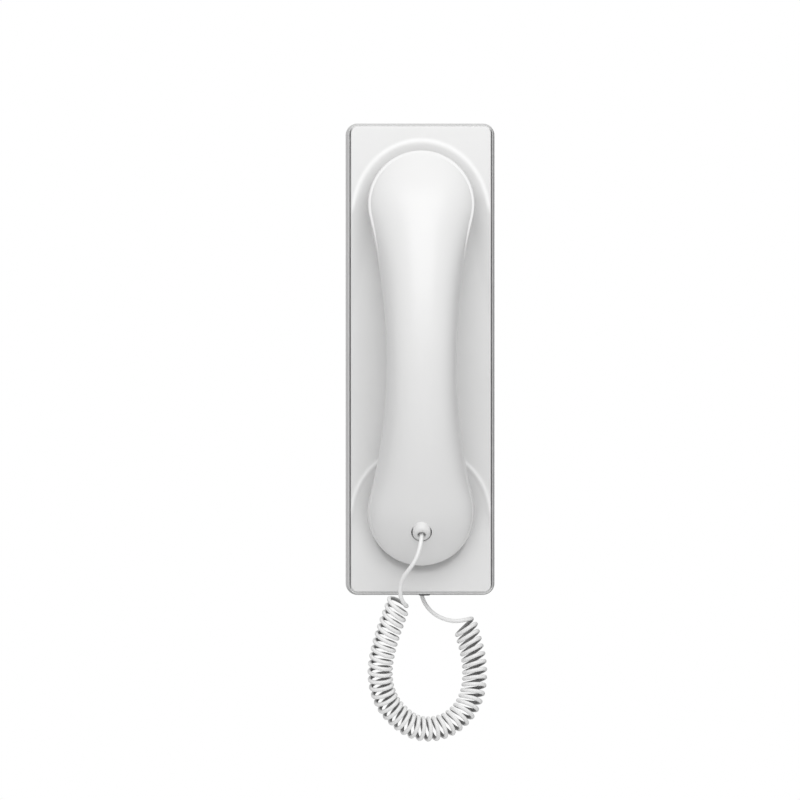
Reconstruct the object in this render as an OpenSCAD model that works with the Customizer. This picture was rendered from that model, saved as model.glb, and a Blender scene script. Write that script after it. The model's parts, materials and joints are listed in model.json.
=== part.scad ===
// Wall-mounted audio intercom handset: a two-part wall base, a lift-off handset and the curly cord between them.
// Lengths are millimetres. The wall is the plane y = 0, the front faces -Y and +Z is up.
// A depth is a distance in front of the wall, and a height is measured from the middle of the base.

/* [Base] */
// Width of the base
base_w = 68.4; // [66:0.2:76]
// Height of the base
base_h = 220; // [216:1:240]
// Depth of the front panel
base_d = 26; // [25:0.5:30]
// Radius of the base's corners
corner_r = 4.7; // [3:0.1:8]
// Wall thickness of the two base mouldings
base_wall = 2; // [1.6:0.1:2.2]
// Depth of the seam between the rear cover and the front shell
seam_d = 11; // [9:0.5:12]
// Thickness of the rear cover's floor
cover_floor = 2.2; // [1.6:0.1:2.6]
// Thickness of the rear cover's lip
lip_t = 1.2; // [0.8:0.1:1.6]
// Height of the rear cover's lip above the seam
lip_h = 2.5; // [1.5:0.1:3]

/* [Wall fixing] */
// Distance of each wall screw hole from the end of the base
wall_margin = 18; // [16:0.5:20]
// Radius of the wall screw holes
wall_hole_r = 2.25; // [1.75:0.05:2.75]
// Radius of the cable entry
entry_r = 8; // [5:0.5:9]
// Distance from the circuit board to the cable entry's edge
entry_gap = 6; // [4:0.5:8]

/* [Cradle] */
// Depth of the trough below the front panel, in the middle
trough_depth = 5.5; // [4.5:0.1:6.5]
// Depth of the trough at its rim
rim_depth = 1.9; // [1:0.1:2.5]
// Radius of the trough's round top end
recess_r = 32.2; // [30:0.1:33]
// Distance from the base's top edge to the centre of the round top end
recess_drop = 43.4; // [41:0.1:45]
// Radius of the dish under the mouthpiece, at the front panel
dish_r = 32.4; // [30:0.1:33]
// Distance from the base's bottom edge to the centre of the dish
dish_rise = 36.4; // [35:0.1:38]
// Depth of the dish below the front panel
dish_depth = 8; // [7:0.1:9]
// Radius of the dish's rounded wall
dish_round = 12; // [9:0.5:13]
// Radius of the boss that the earpiece hangs on
boss_r = 9; // [7:0.5:10]
// Clearance between the boss and the earpiece cup
boss_gap = 0.5; // [0.3:0.1:1]

/* [Handset] */
// Distance from the ends of the handset to the ends of the base
end_margin = 13.5; // [12:0.5:16]
// Radius of the handset's two round ends
end_r = 25; // [23:0.2:26]
// Width of the handset at its waist
waist_w = 32.4; // [29:0.2:36]
// Height of the waist above the middle of the handset
waist_shift = -2.5; // [-5:0.5:5]
// Height of the middle of the handset
handset_z = 0.5; // [-0.5:0.1:1.5]
// Rise of the front face above the widest line at the two ends
front_rise = 16.5; // [14:0.5:19]
// Bow of the front face between the two ends
front_bow = 12; // [9:0.5:14]
// Rise of the widest line at the waist
arch_rise = 12; // [9:0.5:13]
// Share of the front's rise, at the two ends, that belongs to the inner shell
split_share = 0.3; // [0.1:0.05:0.4]
// Drop of the back face below the widest line
back_drop = 7.5; // [6:0.5:9]
// Wall thickness of the handset shells
handset_wall = 2; // [1.6:0.1:2.4]
// Gap between the seated handset and the cradle
seat_gap = 0.3; // [0.2:0.05:0.6]

/* [Earpiece and mouthpiece] */
// Outer radius of the earpiece pad
ear_pad_r = 17.5; // [16.5:0.1:18.5]
// Height of the earpiece pad, which is the depth of its cup
ear_pad_h = 3; // [2.5:0.1:4]
// Radius of the earpiece cup
ear_cup_r = 13.5; // [12:0.1:14.5]
// Radius of the mouthpiece at its face
mouth_r = 17; // [15:0.1:18]
// Radius of the earpiece capsule
capsule_r = 15; // [13:0.5:16]
// Thickness of the earpiece capsule
capsule_t = 6; // [5:0.5:7]
// Radius of the microphone
mic_r = 4.85; // [4:0.05:5.5]
// Thickness of the microphone
mic_t = 5; // [4:0.1:6]
// Radius of a sound hole
sound_r = 0.8; // [0.5:0.1:1]

/* [Electronics] */
// Width of the circuit board
board_w = 52; // [50:1:56]
// Distance from the base's bottom edge to the circuit board
board_below = 30; // [28:1:32]
// Distance from the base's top edge to the circuit board
board_above = 72; // [70:1:76]
// Thickness of the circuit board
board_t = 1.6; // [1.2:0.1:2]
// Length of the standoffs under the board
standoff_h = 2.8; // [2:0.1:3.2]
// Radius of the ringer
ringer_r = 14.5; // [13:0.5:15]
// Thickness of the ringer
ringer_t = 5.5; // [4.5:0.1:6]

/* [Hook plunger and release button] */
// Radius of the hook plunger
plunger_r = 4; // [3.5:0.1:4.5]
// Height of the hook plunger above the centre of the dish
plunger_up = 12.6; // [11:0.1:13]
// Travel of the hook plunger when the handset is lifted
plunger_travel = 4; // [3:0.1:4.2]
// Radius of the door release button
button_r = 6.5; // [5:0.1:8]
// Height of the door release button
button_z = 4; // [0:1:8]
// Height of the button above the trough
button_proud = 1.5; // [1:0.1:2]
// Travel of the door release button
button_travel = 1.5; // [1:0.1:1.8]
// Radial clearance of a sliding piece in its guide
slide_gap = 0.1; // [0.05:0.01:0.1]

/* [Cord] */
// Diameter of the cord
cord_d = 1.9; // [1.5:0.1:2]
// Outer diameter of the curls
coil_od = 11.8; // [10:0.2:12]
// Number of curls
curls = 42; // [30:1:43]
// Radius of the gland on the handset
gland_r = 4.2; // [3.6:0.1:4.8]
// Distance of the gland below the centre of the handset's round lower end
gland_down = 9.5; // [8:0.5:10.5]
// Angle of the gland below straight ahead
gland_tilt = 36; // [30:1:40]
// Length of the gland outside the handset
gland_proud = 2; // [1.5:0.1:3]

/* [Hidden] */

$fn = 48;
// Overlap of a cutting tool past the face that it cuts
cut = 1;
// Clearance around a fixed piece in its hole or pocket
fit = 0.1;
// Clearance between a lid's lip and the wall around it
lip_gap = 0.15;

// Screws: shank and head of the small ones inside and of the locking screw
small_shank_r = 1.1;
small_head_r = 2.3;
small_head_h = 1.4;
small_len = 6;
lock_shank_r = 1.4;
lock_head_r = 2.6;
lock_head_h = 1.8;
lock_len = 9;
boss_wall = 1.9;

// Heights that follow the ends of the base
recess_z = base_h / 2 - recess_drop;
dish_z = -base_h / 2 + dish_rise;
board_low = -base_h / 2 + board_below;
board_top = base_h / 2 - board_above;
plunger_z = dish_z + plunger_up;
entry_z = board_top + entry_gap + entry_r;
wall_span = base_h - 2 * wall_margin;

// Depths that the base pieces share
board_d = cover_floor + standoff_h;
board_front = board_d + board_t;
trough_floor = base_d - trough_depth;
trough_inside = trough_floor - base_wall;
dish_floor = base_d - dish_depth;
dish_inside = dish_floor - base_wall;

// The trough is a circular arc across the base
trough_sag = trough_depth - rim_depth;
trough_r = (recess_r * recess_r + trough_sag * trough_sag) / (2 * trough_sag);
function trough_at(r) = trough_floor + trough_r - sqrt(trough_r * trough_r - r * r);
dish_flat = dish_r - sqrt(pow(dish_round, 2) - pow(dish_round - dish_depth, 2));

// Handset stations and depths
half_span = base_h / 2 - end_margin - end_r;
top_z = handset_z + half_span;
low_z = handset_z - half_span;
gland_z = low_z - gland_down;
ear_face = trough_at(ear_pad_r + abs(top_z - recess_z)) + seat_gap;
mouth_face = dish_floor + seat_gap;
back_end = ear_face + ear_pad_h;
part_end = back_end + back_drop;
front_r = half_span * half_span / (2 * front_bow);
inner_stations = 12;
end_stations = 7;
end_angle = 87;
slice = 0.1;
section_points = 28;
back_power = 3;
waist_share = 0.06;

// Earpiece and mouthpiece stack, from the cradle outwards
seat_top = back_end + handset_wall + 2;
gasket_t = 1;
capsule_d = seat_top + gasket_t;
magnet_r = 8;
magnet_t = 4;
ear_seat_wall = 3.5;
capsule_back = capsule_d + capsule_t + magnet_t;
clamp_r = capsule_r - 1;
clamp_notch = 8;
mouth_base_r = mouth_r + 1;
mic_floor = mouth_face + handset_wall;
boot_wall = 1.6;
boot_floor = 1;
holder_wall = 1.4;

// Screw posts of the handset, at equal distances from its middle
post_span = half_span;
post_r = small_shank_r + boss_wall;

// Base pieces
standoff_r = small_shank_r + boss_wall;
standoff_inset = 4;
terminal_ways = 4;
terminal_pitch = 5.08;
terminal_deep = 8;
terminal_h = 7.6;
terminal_z = board_top - terminal_deep / 2 - 2;
terminal_screw_r = 1.6;
terminal_screw_h = 3;
chip = [9.8, 6.4, 3.3];
chip_z = button_z - 18;
chip_x = 13;
cap_r = 4;
cap_h = 7;
cap_gap = 10;
cap_z = (board_low + button_z) / 2 + cap_r;
header = [10, 5.8, 6];
header_x = -13;
header_z = board_low + 9;
switch_w = 5;
stem_r = 1.6;
flange_t = 1.2;
flange_over = 1.6;
flange_gap = 0.2;
plunger_flange_top = dish_inside - plunger_travel - flange_gap;
plunger_flange_low = plunger_flange_top - flange_t;
button_flange_top = trough_inside - flange_gap;
hook_switch_h = plunger_flange_low - board_front - 2 * flange_gap;
release_switch_h = 4;
stem_share = 0.8;
spring_wire = 0.6;
spring_turns = 3;
spring_r = plunger_r + 0.4;
boss_z = top_z + ear_cup_r - boss_r - boss_gap;
boss_top = ear_face + ear_pad_h - boss_gap;
ringer_seat = trough_inside - 1;
ringer_seat_wall = 2.5;
ringer_d = ringer_seat - gasket_t;
sound_ring = 5;
post_block = 8;
lock_x = 18;
lock_d = 16;
lock_pad = 2;
lock_top = lock_d + post_block / 2;
bush_x = 0.2;
bush_len = 5;
bush_w = 5.2;
bush_h = 3.4;
bush_d = seam_d + bush_h / 2 + 1.3;
lip_stop = post_block + base_wall + lock_pad + 2;
bush_flange = 1;
bush_shift = 1.6;
gland_back = 5;
gland_flange = 1.2;
gland_flange_t = 1.6;
cord_seat = 1.5;
cord_hole_r = 1.9;

// The cord's route: the lead from the gland, the axis of the curls, and the lead to the base
gland_dir = [0, -cos(gland_tilt), -sin(gland_tilt)];
gland_mouth = [0, -handset_front(gland_z, 0), gland_z] + gland_dir * (gland_proud - cord_seat);
function handset_lead_route() = [
    gland_mouth, gland_mouth + gland_dir * 3, [-0.8, -51, -87], [-2.2, -52, -91.5], [-4.4, -51.5, -95.5],
    [-7.8, -49.5, -99.5], [-9.8, -47, -103.5], [-9.8, -44.5, -108], coil_start - coil_start_dir * 3, coil_start
];
coil_route = [
    [-10, -38.5, -112], [-12.5, -37, -119], [-15.5, -35.5, -127], [-18, -34, -136], [-19.5, -32.5, -145],
    [-18.5, -30.5, -153.5], [-15.5, -28.5, -161], [-10, -26.5, -167], [-4, -25, -171.5], [3, -23.5, -173],
    [10, -22, -172], [16.5, -20.5, -168.5], [21.5, -19, -163], [24.5, -18, -156], [25.5, -17, -148],
    [25, -16.5, -140], [23, -16, -132], [20.5, -15.5, -123]
];
function base_lead_route() = [
    coil_end, coil_end + coil_end_dir * 3, [10.5, -18, -123], [6.5, -16, -120], [3.5, -14.5, -116.5],
    [bush_x, -bush_d, -base_h / 2 - 3], [bush_x, -bush_d, -base_h / 2]
];
coil_r = (coil_od - cord_d) / 2;
curl_rings = 8;
curl_sides = 6;
lead_sides = 8;
lead_rings = 2;
coil_phase = 65;
start_lean = 24;
start_lean_curls = 16;
end_lean = 16;
end_lean_curls = 14;
route_steps = 16;
base_wire_d = 2;
wire_end = 3;
wire_from = [bush_x, -bush_d, -base_h / 2 + bush_len];
wire_to = [header_x, -board_front - header[2] / 2, header_z - header[1] / 2];
base_wire_route = [
    wire_from, wire_from + [0, 0, wire_end], (2 * wire_from + wire_to) / 3, (wire_from + 2 * wire_to) / 3,
    wire_to - [0, 0, wire_end], wire_to
];
handset_wire_d = 2;
wire_x = 8;
gland_inside = [0, -handset_front(gland_z, 0), gland_z] - gland_dir * gland_back;
handset_wire_route = [
    gland_inside, gland_inside - gland_dir * wire_end, hollow_point(wire_x / 2, low_z + 4),
    hollow_point(wire_x, low_z + 18), hollow_point(wire_x, handset_z - post_span / 2), hollow_point(wire_x, handset_z),
    hollow_point(wire_x, handset_z + post_span / 2), hollow_point(wire_x / 2, top_z - capsule_r - wire_end),
    [wire_x / 4, -capsule_back - wire_end, top_z - magnet_r], [0, -capsule_back - wire_end, top_z],
    [0, -capsule_back, top_z]
];
function hollow_point(x, z) = [x, -(handset_front(z, 0) + handset_back(z, 0)) / 2, z];

// Frames: d is a depth, and the child's +Z points away from the wall
module facing(x, z, d) {
    translate([x, -d, z]) rotate([90, 0, 0]) children();
}

// A 2D shape of x and height, drawn through the depths from d0 to d1
module plate(d0, d1) {
    facing(0, 0, d0) linear_extrude(d1 - d0) children();
}

module block(x, z, d0, size) {
    translate([x - size[0] / 2, -d0 - size[2], z - size[1] / 2]) cube([size[0], size[2], size[1]]);
}

module rounded(w, h, r) {
    square([w - 2 * r, h], center = true);
    square([w, h - 2 * r], center = true);
    for (sx = [-1, 1], sy = [-1, 1]) translate([sx * (w / 2 - r), sy * (h / 2 - r)]) circle(r);
}

module base_outline(inset) {
    rounded(base_w - 2 * inset, base_h - 2 * inset, corner_r - min(inset, corner_r - 0.5));
}

module screw(shank_r, head_r, head_h, len) {
    difference() {
        union() {
            translate([0, 0, -len]) cylinder(h = len, r = shank_r);
            cylinder(h = head_h, r = head_r);
        }
        translate([0, 0, head_h - 0.6]) for (a = [0, 90]) rotate(a) translate([-head_r * 0.6, -0.25, 0])
            cube([head_r * 1.2, 0.5, cut]);
    }
}

// The cradle's hollow, grown by g to follow the inside of the front shell
module cradle(g) {
    axis_d = trough_floor + trough_r;
    translate([0, -axis_d, dish_z]) cylinder(h = recess_z - dish_z, r = trough_r + g, $fn = 200);
    intersection() {
        translate([0, -axis_d, recess_z]) sphere(trough_r + g, $fn = 200);
        facing(0, recess_z, trough_floor - g - cut) linear_extrude(trough_depth + g + 2 * cut) intersection() {
            circle(recess_r + g, $fn = 96);
            translate([-base_w, 0]) square(2 * base_w);
        }
    }
    dish(g);
}

module dish(g) {
    centre_h = dish_round;
    r = dish_round + g;
    top = dish_depth + cut;
    end_a = acos((centre_h - top) / r);
    facing(0, dish_z, dish_floor) rotate_extrude($fn = 96)
        polygon(concat(
            [[0, top], [0, -g]],
            [for (i = [0:10]) [dish_flat + r * sin(end_a * i / 10), centre_h - r * cos(end_a * i / 10)]]
        ));
}

// Base mouldings

module rear_cover() {
    color("gainsboro") difference() {
        union() {
            difference() {
                plate(0, seam_d) base_outline(0);
                plate(cover_floor, seam_d + cut) base_outline(base_wall);
            }
            lip();
            at_standoffs() facing(0, 0, cover_floor - cut) cylinder(h = standoff_h + cut, r = standoff_r);
            block(lock_x, lock_block_z(), cover_floor - cut, [post_block, post_block, lock_top - cover_floor + cut]);
        }
        for (s = [-1, 1]) facing(0, s * wall_span / 2, -cut) cylinder(h = cover_floor + 2 * cut, r = wall_hole_r);
        facing(0, entry_z, -cut) cylinder(h = cover_floor + 2 * cut, r = entry_r);
        at_standoffs() facing(0, 0, cover_floor) cylinder(h = standoff_h + cut, r = small_shank_r + fit / 2);
        translate([lock_x, -lock_d, -base_h / 2])
            cylinder(h = lock_len + lock_head_h + cut, r = lock_shank_r + fit / 2);
    }
}

// Inner lip along the sides and the top, which lines the front shell up
module lip() {
    low = -base_h / 2 + lip_stop;
    inside = base_wall + lip_gap;
    intersection() {
        union() {
            plate(seam_d - lip_h, seam_d) difference() {
                base_outline(base_wall - lip_gap);
                base_outline(inside + lip_t);
            }
            plate(seam_d - lip_gap, seam_d + lip_h) difference() {
                base_outline(inside);
                base_outline(inside + lip_t);
            }
        }
        translate([-base_w, -base_d, low]) cube([2 * base_w, base_d, base_h]);
    }
}

function lock_block_z() = -base_h / 2 + base_wall + lock_pad + fit + post_block / 2;

module at_standoffs() {
    for (sx = [-1, 1], z = [board_low + standoff_inset, board_top - standoff_inset])
        translate([sx * (board_w / 2 - standoff_inset), 0, z]) children();
}

module base_shell() {
    color("white") difference() {
        union() {
            difference() {
                plate(seam_d, base_d) base_outline(0);
                difference() {
                    plate(seam_d - cut, base_d - base_wall) base_outline(base_wall);
                    cradle(base_wall);
                }
                cradle(0);
            }
            facing(0, boss_z, trough_inside) cylinder(h = boss_top - trough_inside, r = boss_r);
            facing(0, boss_z, ringer_seat) difference() {
                cylinder(h = base_wall + cut / 2, r = ringer_r);
                translate([0, 0, -cut]) cylinder(h = base_wall + 3 * cut, r = ringer_r - ringer_seat_wall);
            }
            block(lock_x, -base_h / 2 + base_wall + lock_pad / 2, seam_d, [post_block, lock_pad, lock_top - seam_d]);
        }
        at_sound_holes(sound_ring) facing(0, boss_z, ringer_seat - cut) cylinder(h = base_d, r = sound_r, $fn = 24);
        facing(0, plunger_z, seam_d) cylinder(h = base_d, r = plunger_r + slide_gap);
        facing(0, button_z, seam_d) cylinder(h = base_d, r = button_r + slide_gap);
        translate([0, 0, -base_h / 2]) bush_body(fit, cut);
        translate([lock_x, -lock_d, -base_h / 2 - cut]) {
            cylinder(h = lock_head_h + fit + cut, r = lock_head_r + fit);
            cylinder(h = base_wall + lock_pad + 2 * cut, r = lock_shank_r + fit);
        }
    }
}

module at_sound_holes(ring) {
    children();
    for (a = [0:60:300]) translate([ring * cos(a), 0, ring * sin(a)]) children();
}

module locking_screw() {
    color("silver") translate([lock_x, -lock_d, -base_h / 2 + lock_head_h + fit]) rotate([180, 0, 0])
        screw(lock_shank_r, lock_head_r, lock_head_h, lock_len);
}

// Circuit board and what is soldered to it

module main_board() {
    color("darkgreen") difference() {
        block(0, (board_low + board_top) / 2, board_d, [board_w, board_top - board_low, board_t]);
        at_standoffs() facing(0, 0, board_d - cut) cylinder(h = board_t + 2 * cut, r = small_shank_r + fit);
    }
}

module board_screws() {
    color("silver") at_standoffs() facing(0, 0, board_front)
        screw(small_shank_r, small_head_r, small_head_h, board_t + standoff_h - fit);
}

module terminal_block() {
    ways_w = terminal_ways * terminal_pitch;
    color("seagreen") difference() {
        block(0, terminal_z, board_front, [ways_w, terminal_deep, terminal_h]);
        at_terminals() facing(0, 0, board_front + terminal_h - terminal_screw_h - fit)
            cylinder(h = terminal_screw_h + cut, r = terminal_screw_r + fit);
        at_terminals() translate([0, -board_front - 2.2, terminal_deep / 4]) cylinder(h = terminal_deep, r = 1.3);
    }
}

module at_terminals() {
    for (i = [0:terminal_ways - 1])
        translate([(i - (terminal_ways - 1) / 2) * terminal_pitch, 0, terminal_z]) children();
}

module terminal_screws() {
    color("silver") at_terminals() facing(0, 0, board_front + terminal_h - terminal_screw_h) difference() {
        cylinder(h = terminal_screw_h - 0.4, r = terminal_screw_r);
        translate([-terminal_screw_r, -0.25, terminal_screw_h - 1]) cube([2 * terminal_screw_r, 0.5, cut]);
    }
}

module control_chip() {
    color("dimgray") block(chip_x, chip_z, board_front, chip);
}

module capacitors() {
    color("midnightblue") for (i = [-1, 1]) facing(i * cap_gap, cap_z, board_front) cylinder(h = cap_h, r = cap_r);
}

module cord_header() {
    color("ivory") block(header_x, header_z, board_front, header);
}

module hook_switch() {
    color("black") stem_switch(plunger_z, hook_switch_h);
}

module release_switch() {
    color("black") stem_switch(button_z, release_switch_h);
}

module stem_switch(z, h) {
    difference() {
        block(0, z, board_front, [switch_w, switch_w, h]);
        facing(0, z, board_front + h * (1 - stem_share)) cylinder(h = h, r = stem_r + slide_gap);
    }
}

module ringer() {
    color("dimgray") facing(0, boss_z, ringer_d - ringer_t) union() {
        cylinder(h = ringer_t, r = ringer_r);
        translate([0, 0, -1.5]) cylinder(h = 2, r = ringer_r / 2);
    }
}

module ringer_gasket() {
    color("black") facing(0, boss_z, ringer_d) difference() {
        cylinder(h = gasket_t, r = ringer_r);
        translate([0, 0, -cut]) cylinder(h = gasket_t + 2 * cut, r = ringer_r - ringer_seat_wall);
    }
}

// Strain relief in the bottom wall, longer than the cord is wide so that the cord sits at its left end
module base_bush() {
    color("dimgray") difference() {
        union() {
            translate([0, 0, -base_h / 2]) bush_body(0, 0);
            translate([0, 0, -base_h / 2 + base_wall + fit])
                bush_slab(bush_flange, bush_len - base_wall - fit);
        }
        translate([bush_x, -bush_d, -base_h / 2 - cut]) cylinder(h = cut + fit, r = cord_d / 2 + fit);
    }
}

module bush_body(grow, extra) {
    translate([0, 0, -extra]) bush_slab(grow, base_wall + 2 * extra + (extra > 0 ? 0 : cut));
}

module bush_slab(grow, h) {
    r = bush_h / 2 + grow;
    run = bush_w / 2 - bush_h / 2;
    translate([bush_x + bush_shift, -bush_d, 0]) {
        for (s = [-1, 1]) translate([s * run, 0, 0]) cylinder(h = h, r = r);
        translate([-run, -r, 0]) cube([2 * run, 2 * r, h]);
    }
}

module base_wires() {
    p = base_wire_route;
    color("ivory") tube([for (u = [0:0.5:len(p) - 1]) spline(p, u)], base_wire_d, lead_sides);
}

// Sliding pieces

module hook_plunger() {
    stem_end = board_front + hook_switch_h * (1 - stem_share) + fit;
    color("white") {
        facing(0, plunger_z, plunger_flange_low) cylinder(h = flange_t, r = plunger_r + flange_over);
        facing(0, plunger_z, plunger_flange_low) cylinder(h = dish_floor - plunger_flange_low, r = plunger_r);
        facing(0, plunger_z, stem_end) cylinder(h = plunger_flange_low - stem_end + fit, r = stem_r);
    }
}

module plunger_spring() {
    low = board_front + spring_wire / 2 + fit;
    high = plunger_flange_low - spring_wire / 2 - fit;
    rings = 12;
    last = rings * spring_turns;
    color("silver") tube([for (i = [0:last]) [
        spring_r * cos(360 * i / rings), -low - (high - low) * i / last, plunger_z + spring_r * sin(360 * i / rings)
    ]], spring_wire, curl_sides);
}

module release_button() {
    flange_low = button_flange_top - flange_t;
    stem_end = board_front + release_switch_h - 0.5;
    color("lightgray") {
        facing(0, button_z, flange_low) cylinder(h = flange_t, r = button_r + flange_over);
        facing(0, button_z, flange_low) cylinder(h = trough_floor + button_proud - flange_low, r = button_r);
        facing(0, button_z, stem_end) cylinder(h = flange_low - stem_end + fit, r = stem_r);
    }
}

// Handset form: half width, widest line, front, back and split as functions of height, inset by t

function side_r(reach, t) =
    (reach * reach + pow(waist_w / 2 - t, 2) - pow(end_r - t, 2)) / (2 * (end_r - waist_w / 2));

function half_width(z, t) =
    let (
        up = z >= handset_z + waist_shift,
        reach = up ? half_span - waist_shift : half_span + waist_shift,
        from_waist = abs(z - handset_z - waist_shift),
        r = side_r(reach, t),
        tangent = reach * r / (r + end_r - t)
    )
    from_waist <= tangent
        ? waist_w / 2 - t + r - sqrt(r * r - from_waist * from_waist)
        : sqrt(max(0, pow(end_r - t, 2) - pow(from_waist - reach, 2)));

function past_end(z, t) = min(1, max(0, abs(z - handset_z) - half_span) / (end_r - t));

function arch(z) = (1 + cos(180 * min(1, abs(z - handset_z) / half_span))) / 2;

function widest(z) = part_end + arch_rise * arch(z);

function handset_front(z, t) =
    let (bowed = part_end + front_rise + front_bow - pow(z - handset_z, 2) / (2 * front_r))
    widest(z) + (bowed - widest(z) - t) * sqrt(1 - pow(past_end(z, t), 2));

function handset_back(z, t) = widest(z) - (back_drop - t) * sqrt(1 - pow(past_end(z, t), 4));

function split(z) =
    widest(z) + (split_share - (split_share - waist_share) * arch(z)) * (handset_front(z, 0) - widest(z));

function power(c) = sign(c) * pow(abs(c), 2 / back_power);

function section(z, t) = [
    for (i = [0:section_points - 1])
        let (a = 360 * i / section_points, w = half_width(z, t), p = widest(z))
        sin(a) >= 0
            ? [w * cos(a), -p - (handset_front(z, t) - p) * sin(a)]
            : [w * power(cos(a)), -p - (p - handset_back(z, t)) * power(sin(a))]
];

function stations(t) = concat(
    [for (i = [end_stations:-1:1]) low_z - (end_r - t) * sin(end_angle * i / end_stations)],
    [for (i = [0:inner_stations]) low_z + 2 * half_span * i / inner_stations],
    [for (i = [1:end_stations]) top_z + (end_r - t) * sin(end_angle * i / end_stations)]
);

module handset_solid(t) {
    z = stations(t);
    for (i = [0:len(z) - 2]) hull() for (k = [i, i + 1])
        translate([0, 0, z[k]]) linear_extrude(slice) polygon(section(z[k], t));
}

// The space in front of the split between the two shells
module front_space() {
    z = stations(0);
    last = len(z) - 1;
    far = part_end + front_rise + front_bow + end_r;
    rotate([90, 0, -90]) translate([0, 0, -base_w]) linear_extrude(2 * base_w)
        polygon(concat(
            [[far, z[0] - end_r], [split(z[0]), z[0] - end_r]],
            [for (i = [0:last - 1]) let (v = (z[i] + z[i + 1]) / 2) [split(v), v]],
            [[split(z[last]), z[last] + end_r], [far, z[last] + end_r]]
        ));
}

module handset_outer_shell() {
    color("white") difference() {
        union() {
            intersection() {
                difference() {
                    handset_solid(0);
                    handset_solid(handset_wall);
                }
                front_space();
            }
            intersection() {
                handset_solid(handset_wall / 2);
                union() {
                    for (z = post_heights())
                        facing(0, z, handset_back(z, 0) + handset_wall + fit) cylinder(h = 2 * end_r, r = post_r);
                    facing(0, top_z, capsule_d + capsule_t + fit) difference() {
                        cylinder(h = end_r, r = clamp_r);
                        translate([0, 0, -cut]) cylinder(h = end_r + 2 * cut, r = clamp_r - handset_wall);
                        translate([-clamp_notch / 2, -2 * clamp_r, -cut]) cube([clamp_notch, 2 * clamp_r, end_r]);
                    }
                }
            }
        }
        for (z = post_heights()) facing(0, z, handset_back(z, 0))
            cylinder(h = small_len + handset_wall + cut, r = small_shank_r + fit / 2);
        at_gland() translate([0, 0, -gland_back - cut]) cylinder(h = 2 * gland_back, r = gland_r + fit);
    }
}

function post_heights() = [handset_z - post_span / 2, handset_z + post_span / 2];

module handset_inner_shell() {
    color("white") difference() {
        union() {
            difference() {
                handset_solid(0);
                handset_solid(handset_wall);
                front_space();
            }
            facing(0, top_z, ear_face) cylinder(h = seat_top - ear_face, r = ear_pad_r);
            facing(0, low_z, mouth_face) cylinder(h = back_end + cut - mouth_face, r1 = mouth_r, r2 = mouth_base_r);
        }
        facing(0, top_z, ear_face - cut) cylinder(h = ear_pad_h + cut, r = ear_cup_r);
        facing(0, top_z, back_end + handset_wall) cylinder(h = end_r, r = capsule_r - ear_seat_wall);
        facing(0, top_z, seat_top) cylinder(h = end_r, r = ear_pad_r + cut);
        at_sound_holes(sound_ring) facing(0, top_z, 0) cylinder(h = part_end, r = sound_r);
        facing(0, low_z, mic_floor) difference() {
            cylinder(h = end_r, r = mouth_r - handset_wall);
            translate([0, 0, -cut]) difference() {
                cylinder(h = mic_t + cut, r = mic_r + boot_wall + holder_wall + fit);
                translate([0, 0, cut]) cylinder(h = mic_t + cut, r = mic_r + boot_wall + fit);
            }
        }
        at_sound_holes(sound_ring / 2) facing(0, low_z, 0) cylinder(h = mic_floor + cut, r = sound_r);
        for (z = post_heights()) facing(0, z, 0) {
            cylinder(h = part_end + arch_rise, r = small_shank_r + fit);
            cylinder(h = handset_back(z, 0) + handset_wall / 2, r = small_head_r + 2 * fit);
        }
    }
}

module handset_screws() {
    color("silver") for (z = post_heights()) facing(0, z, handset_back(z, 0) + handset_wall / 2) rotate([180, 0, 0])
        screw(small_shank_r, small_head_r, small_head_h, small_len);
}

// Earpiece and microphone

module earpiece_capsule() {
    color("dimgray") facing(0, top_z, capsule_d) union() {
        cylinder(h = capsule_t, r = capsule_r);
        cylinder(h = capsule_t + magnet_t, r = magnet_r);
    }
}

module earpiece_gasket() {
    color("black") facing(0, top_z, seat_top) difference() {
        cylinder(h = gasket_t, r = capsule_r);
        translate([0, 0, -cut]) cylinder(h = gasket_t + 2 * cut, r = capsule_r - ear_seat_wall);
    }
}

module microphone() {
    color("silver") facing(0, low_z, mic_floor + boot_floor) cylinder(h = mic_t, r = mic_r);
}

module microphone_boot() {
    color("black") facing(0, low_z, mic_floor) difference() {
        cylinder(h = mic_t + boot_floor, r = mic_r + boot_wall);
        translate([0, 0, boot_floor]) cylinder(h = mic_t + cut, r = mic_r + fit / 2);
        translate([0, 0, -cut]) cylinder(h = boot_floor + 2 * cut, r = sound_ring / 2 + sound_r);
    }
}

module handset_wires() {
    p = handset_wire_route;
    color("ivory") tube([for (u = [0:0.5:len(p) - 1]) spline(p, u)], handset_wire_d, lead_sides);
}

// Cord

module at_gland() {
    translate([0, -handset_front(gland_z, 0), gland_z]) rotate([90 + gland_tilt, 0, 0]) children();
}

module cord_gland() {
    color("whitesmoke") at_gland() difference() {
        union() {
            translate([0, 0, -gland_back]) cylinder(h = gland_back + gland_proud, r = gland_r);
            translate([0, 0, -gland_back]) cylinder(h = gland_flange_t, r = gland_r + gland_flange);
        }
        translate([0, 0, gland_proud - cord_seat]) cylinder(h = cord_seat + cut, r = cord_hole_r);
    }
}

function unit(v) = v / norm(v);

// A smooth curve led by the points p, from the first to the last, where u counts the points
function spline(p, u) =
    let (
        i = min(floor(u), len(p) - 2),
        t = u - i,
        b = p[i],
        c = p[i + 1],
        a = i > 0 ? p[i - 1] : 2 * b - c,
        d = i + 2 < len(p) ? p[i + 2] : 2 * c - b
    )
    (a * pow(1 - t, 3) + b * (3 * pow(t, 3) - 6 * t * t + 4) + c * (3 * pow(1 - t, 3) - 6 * pow(1 - t, 2) + 4)
        + d * pow(t, 3)) / 6;

function spline_dir(p, u) = unit(spline(p, min(u + 0.01, len(p) - 1)) - spline(p, max(u - 0.01, 0)));

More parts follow.
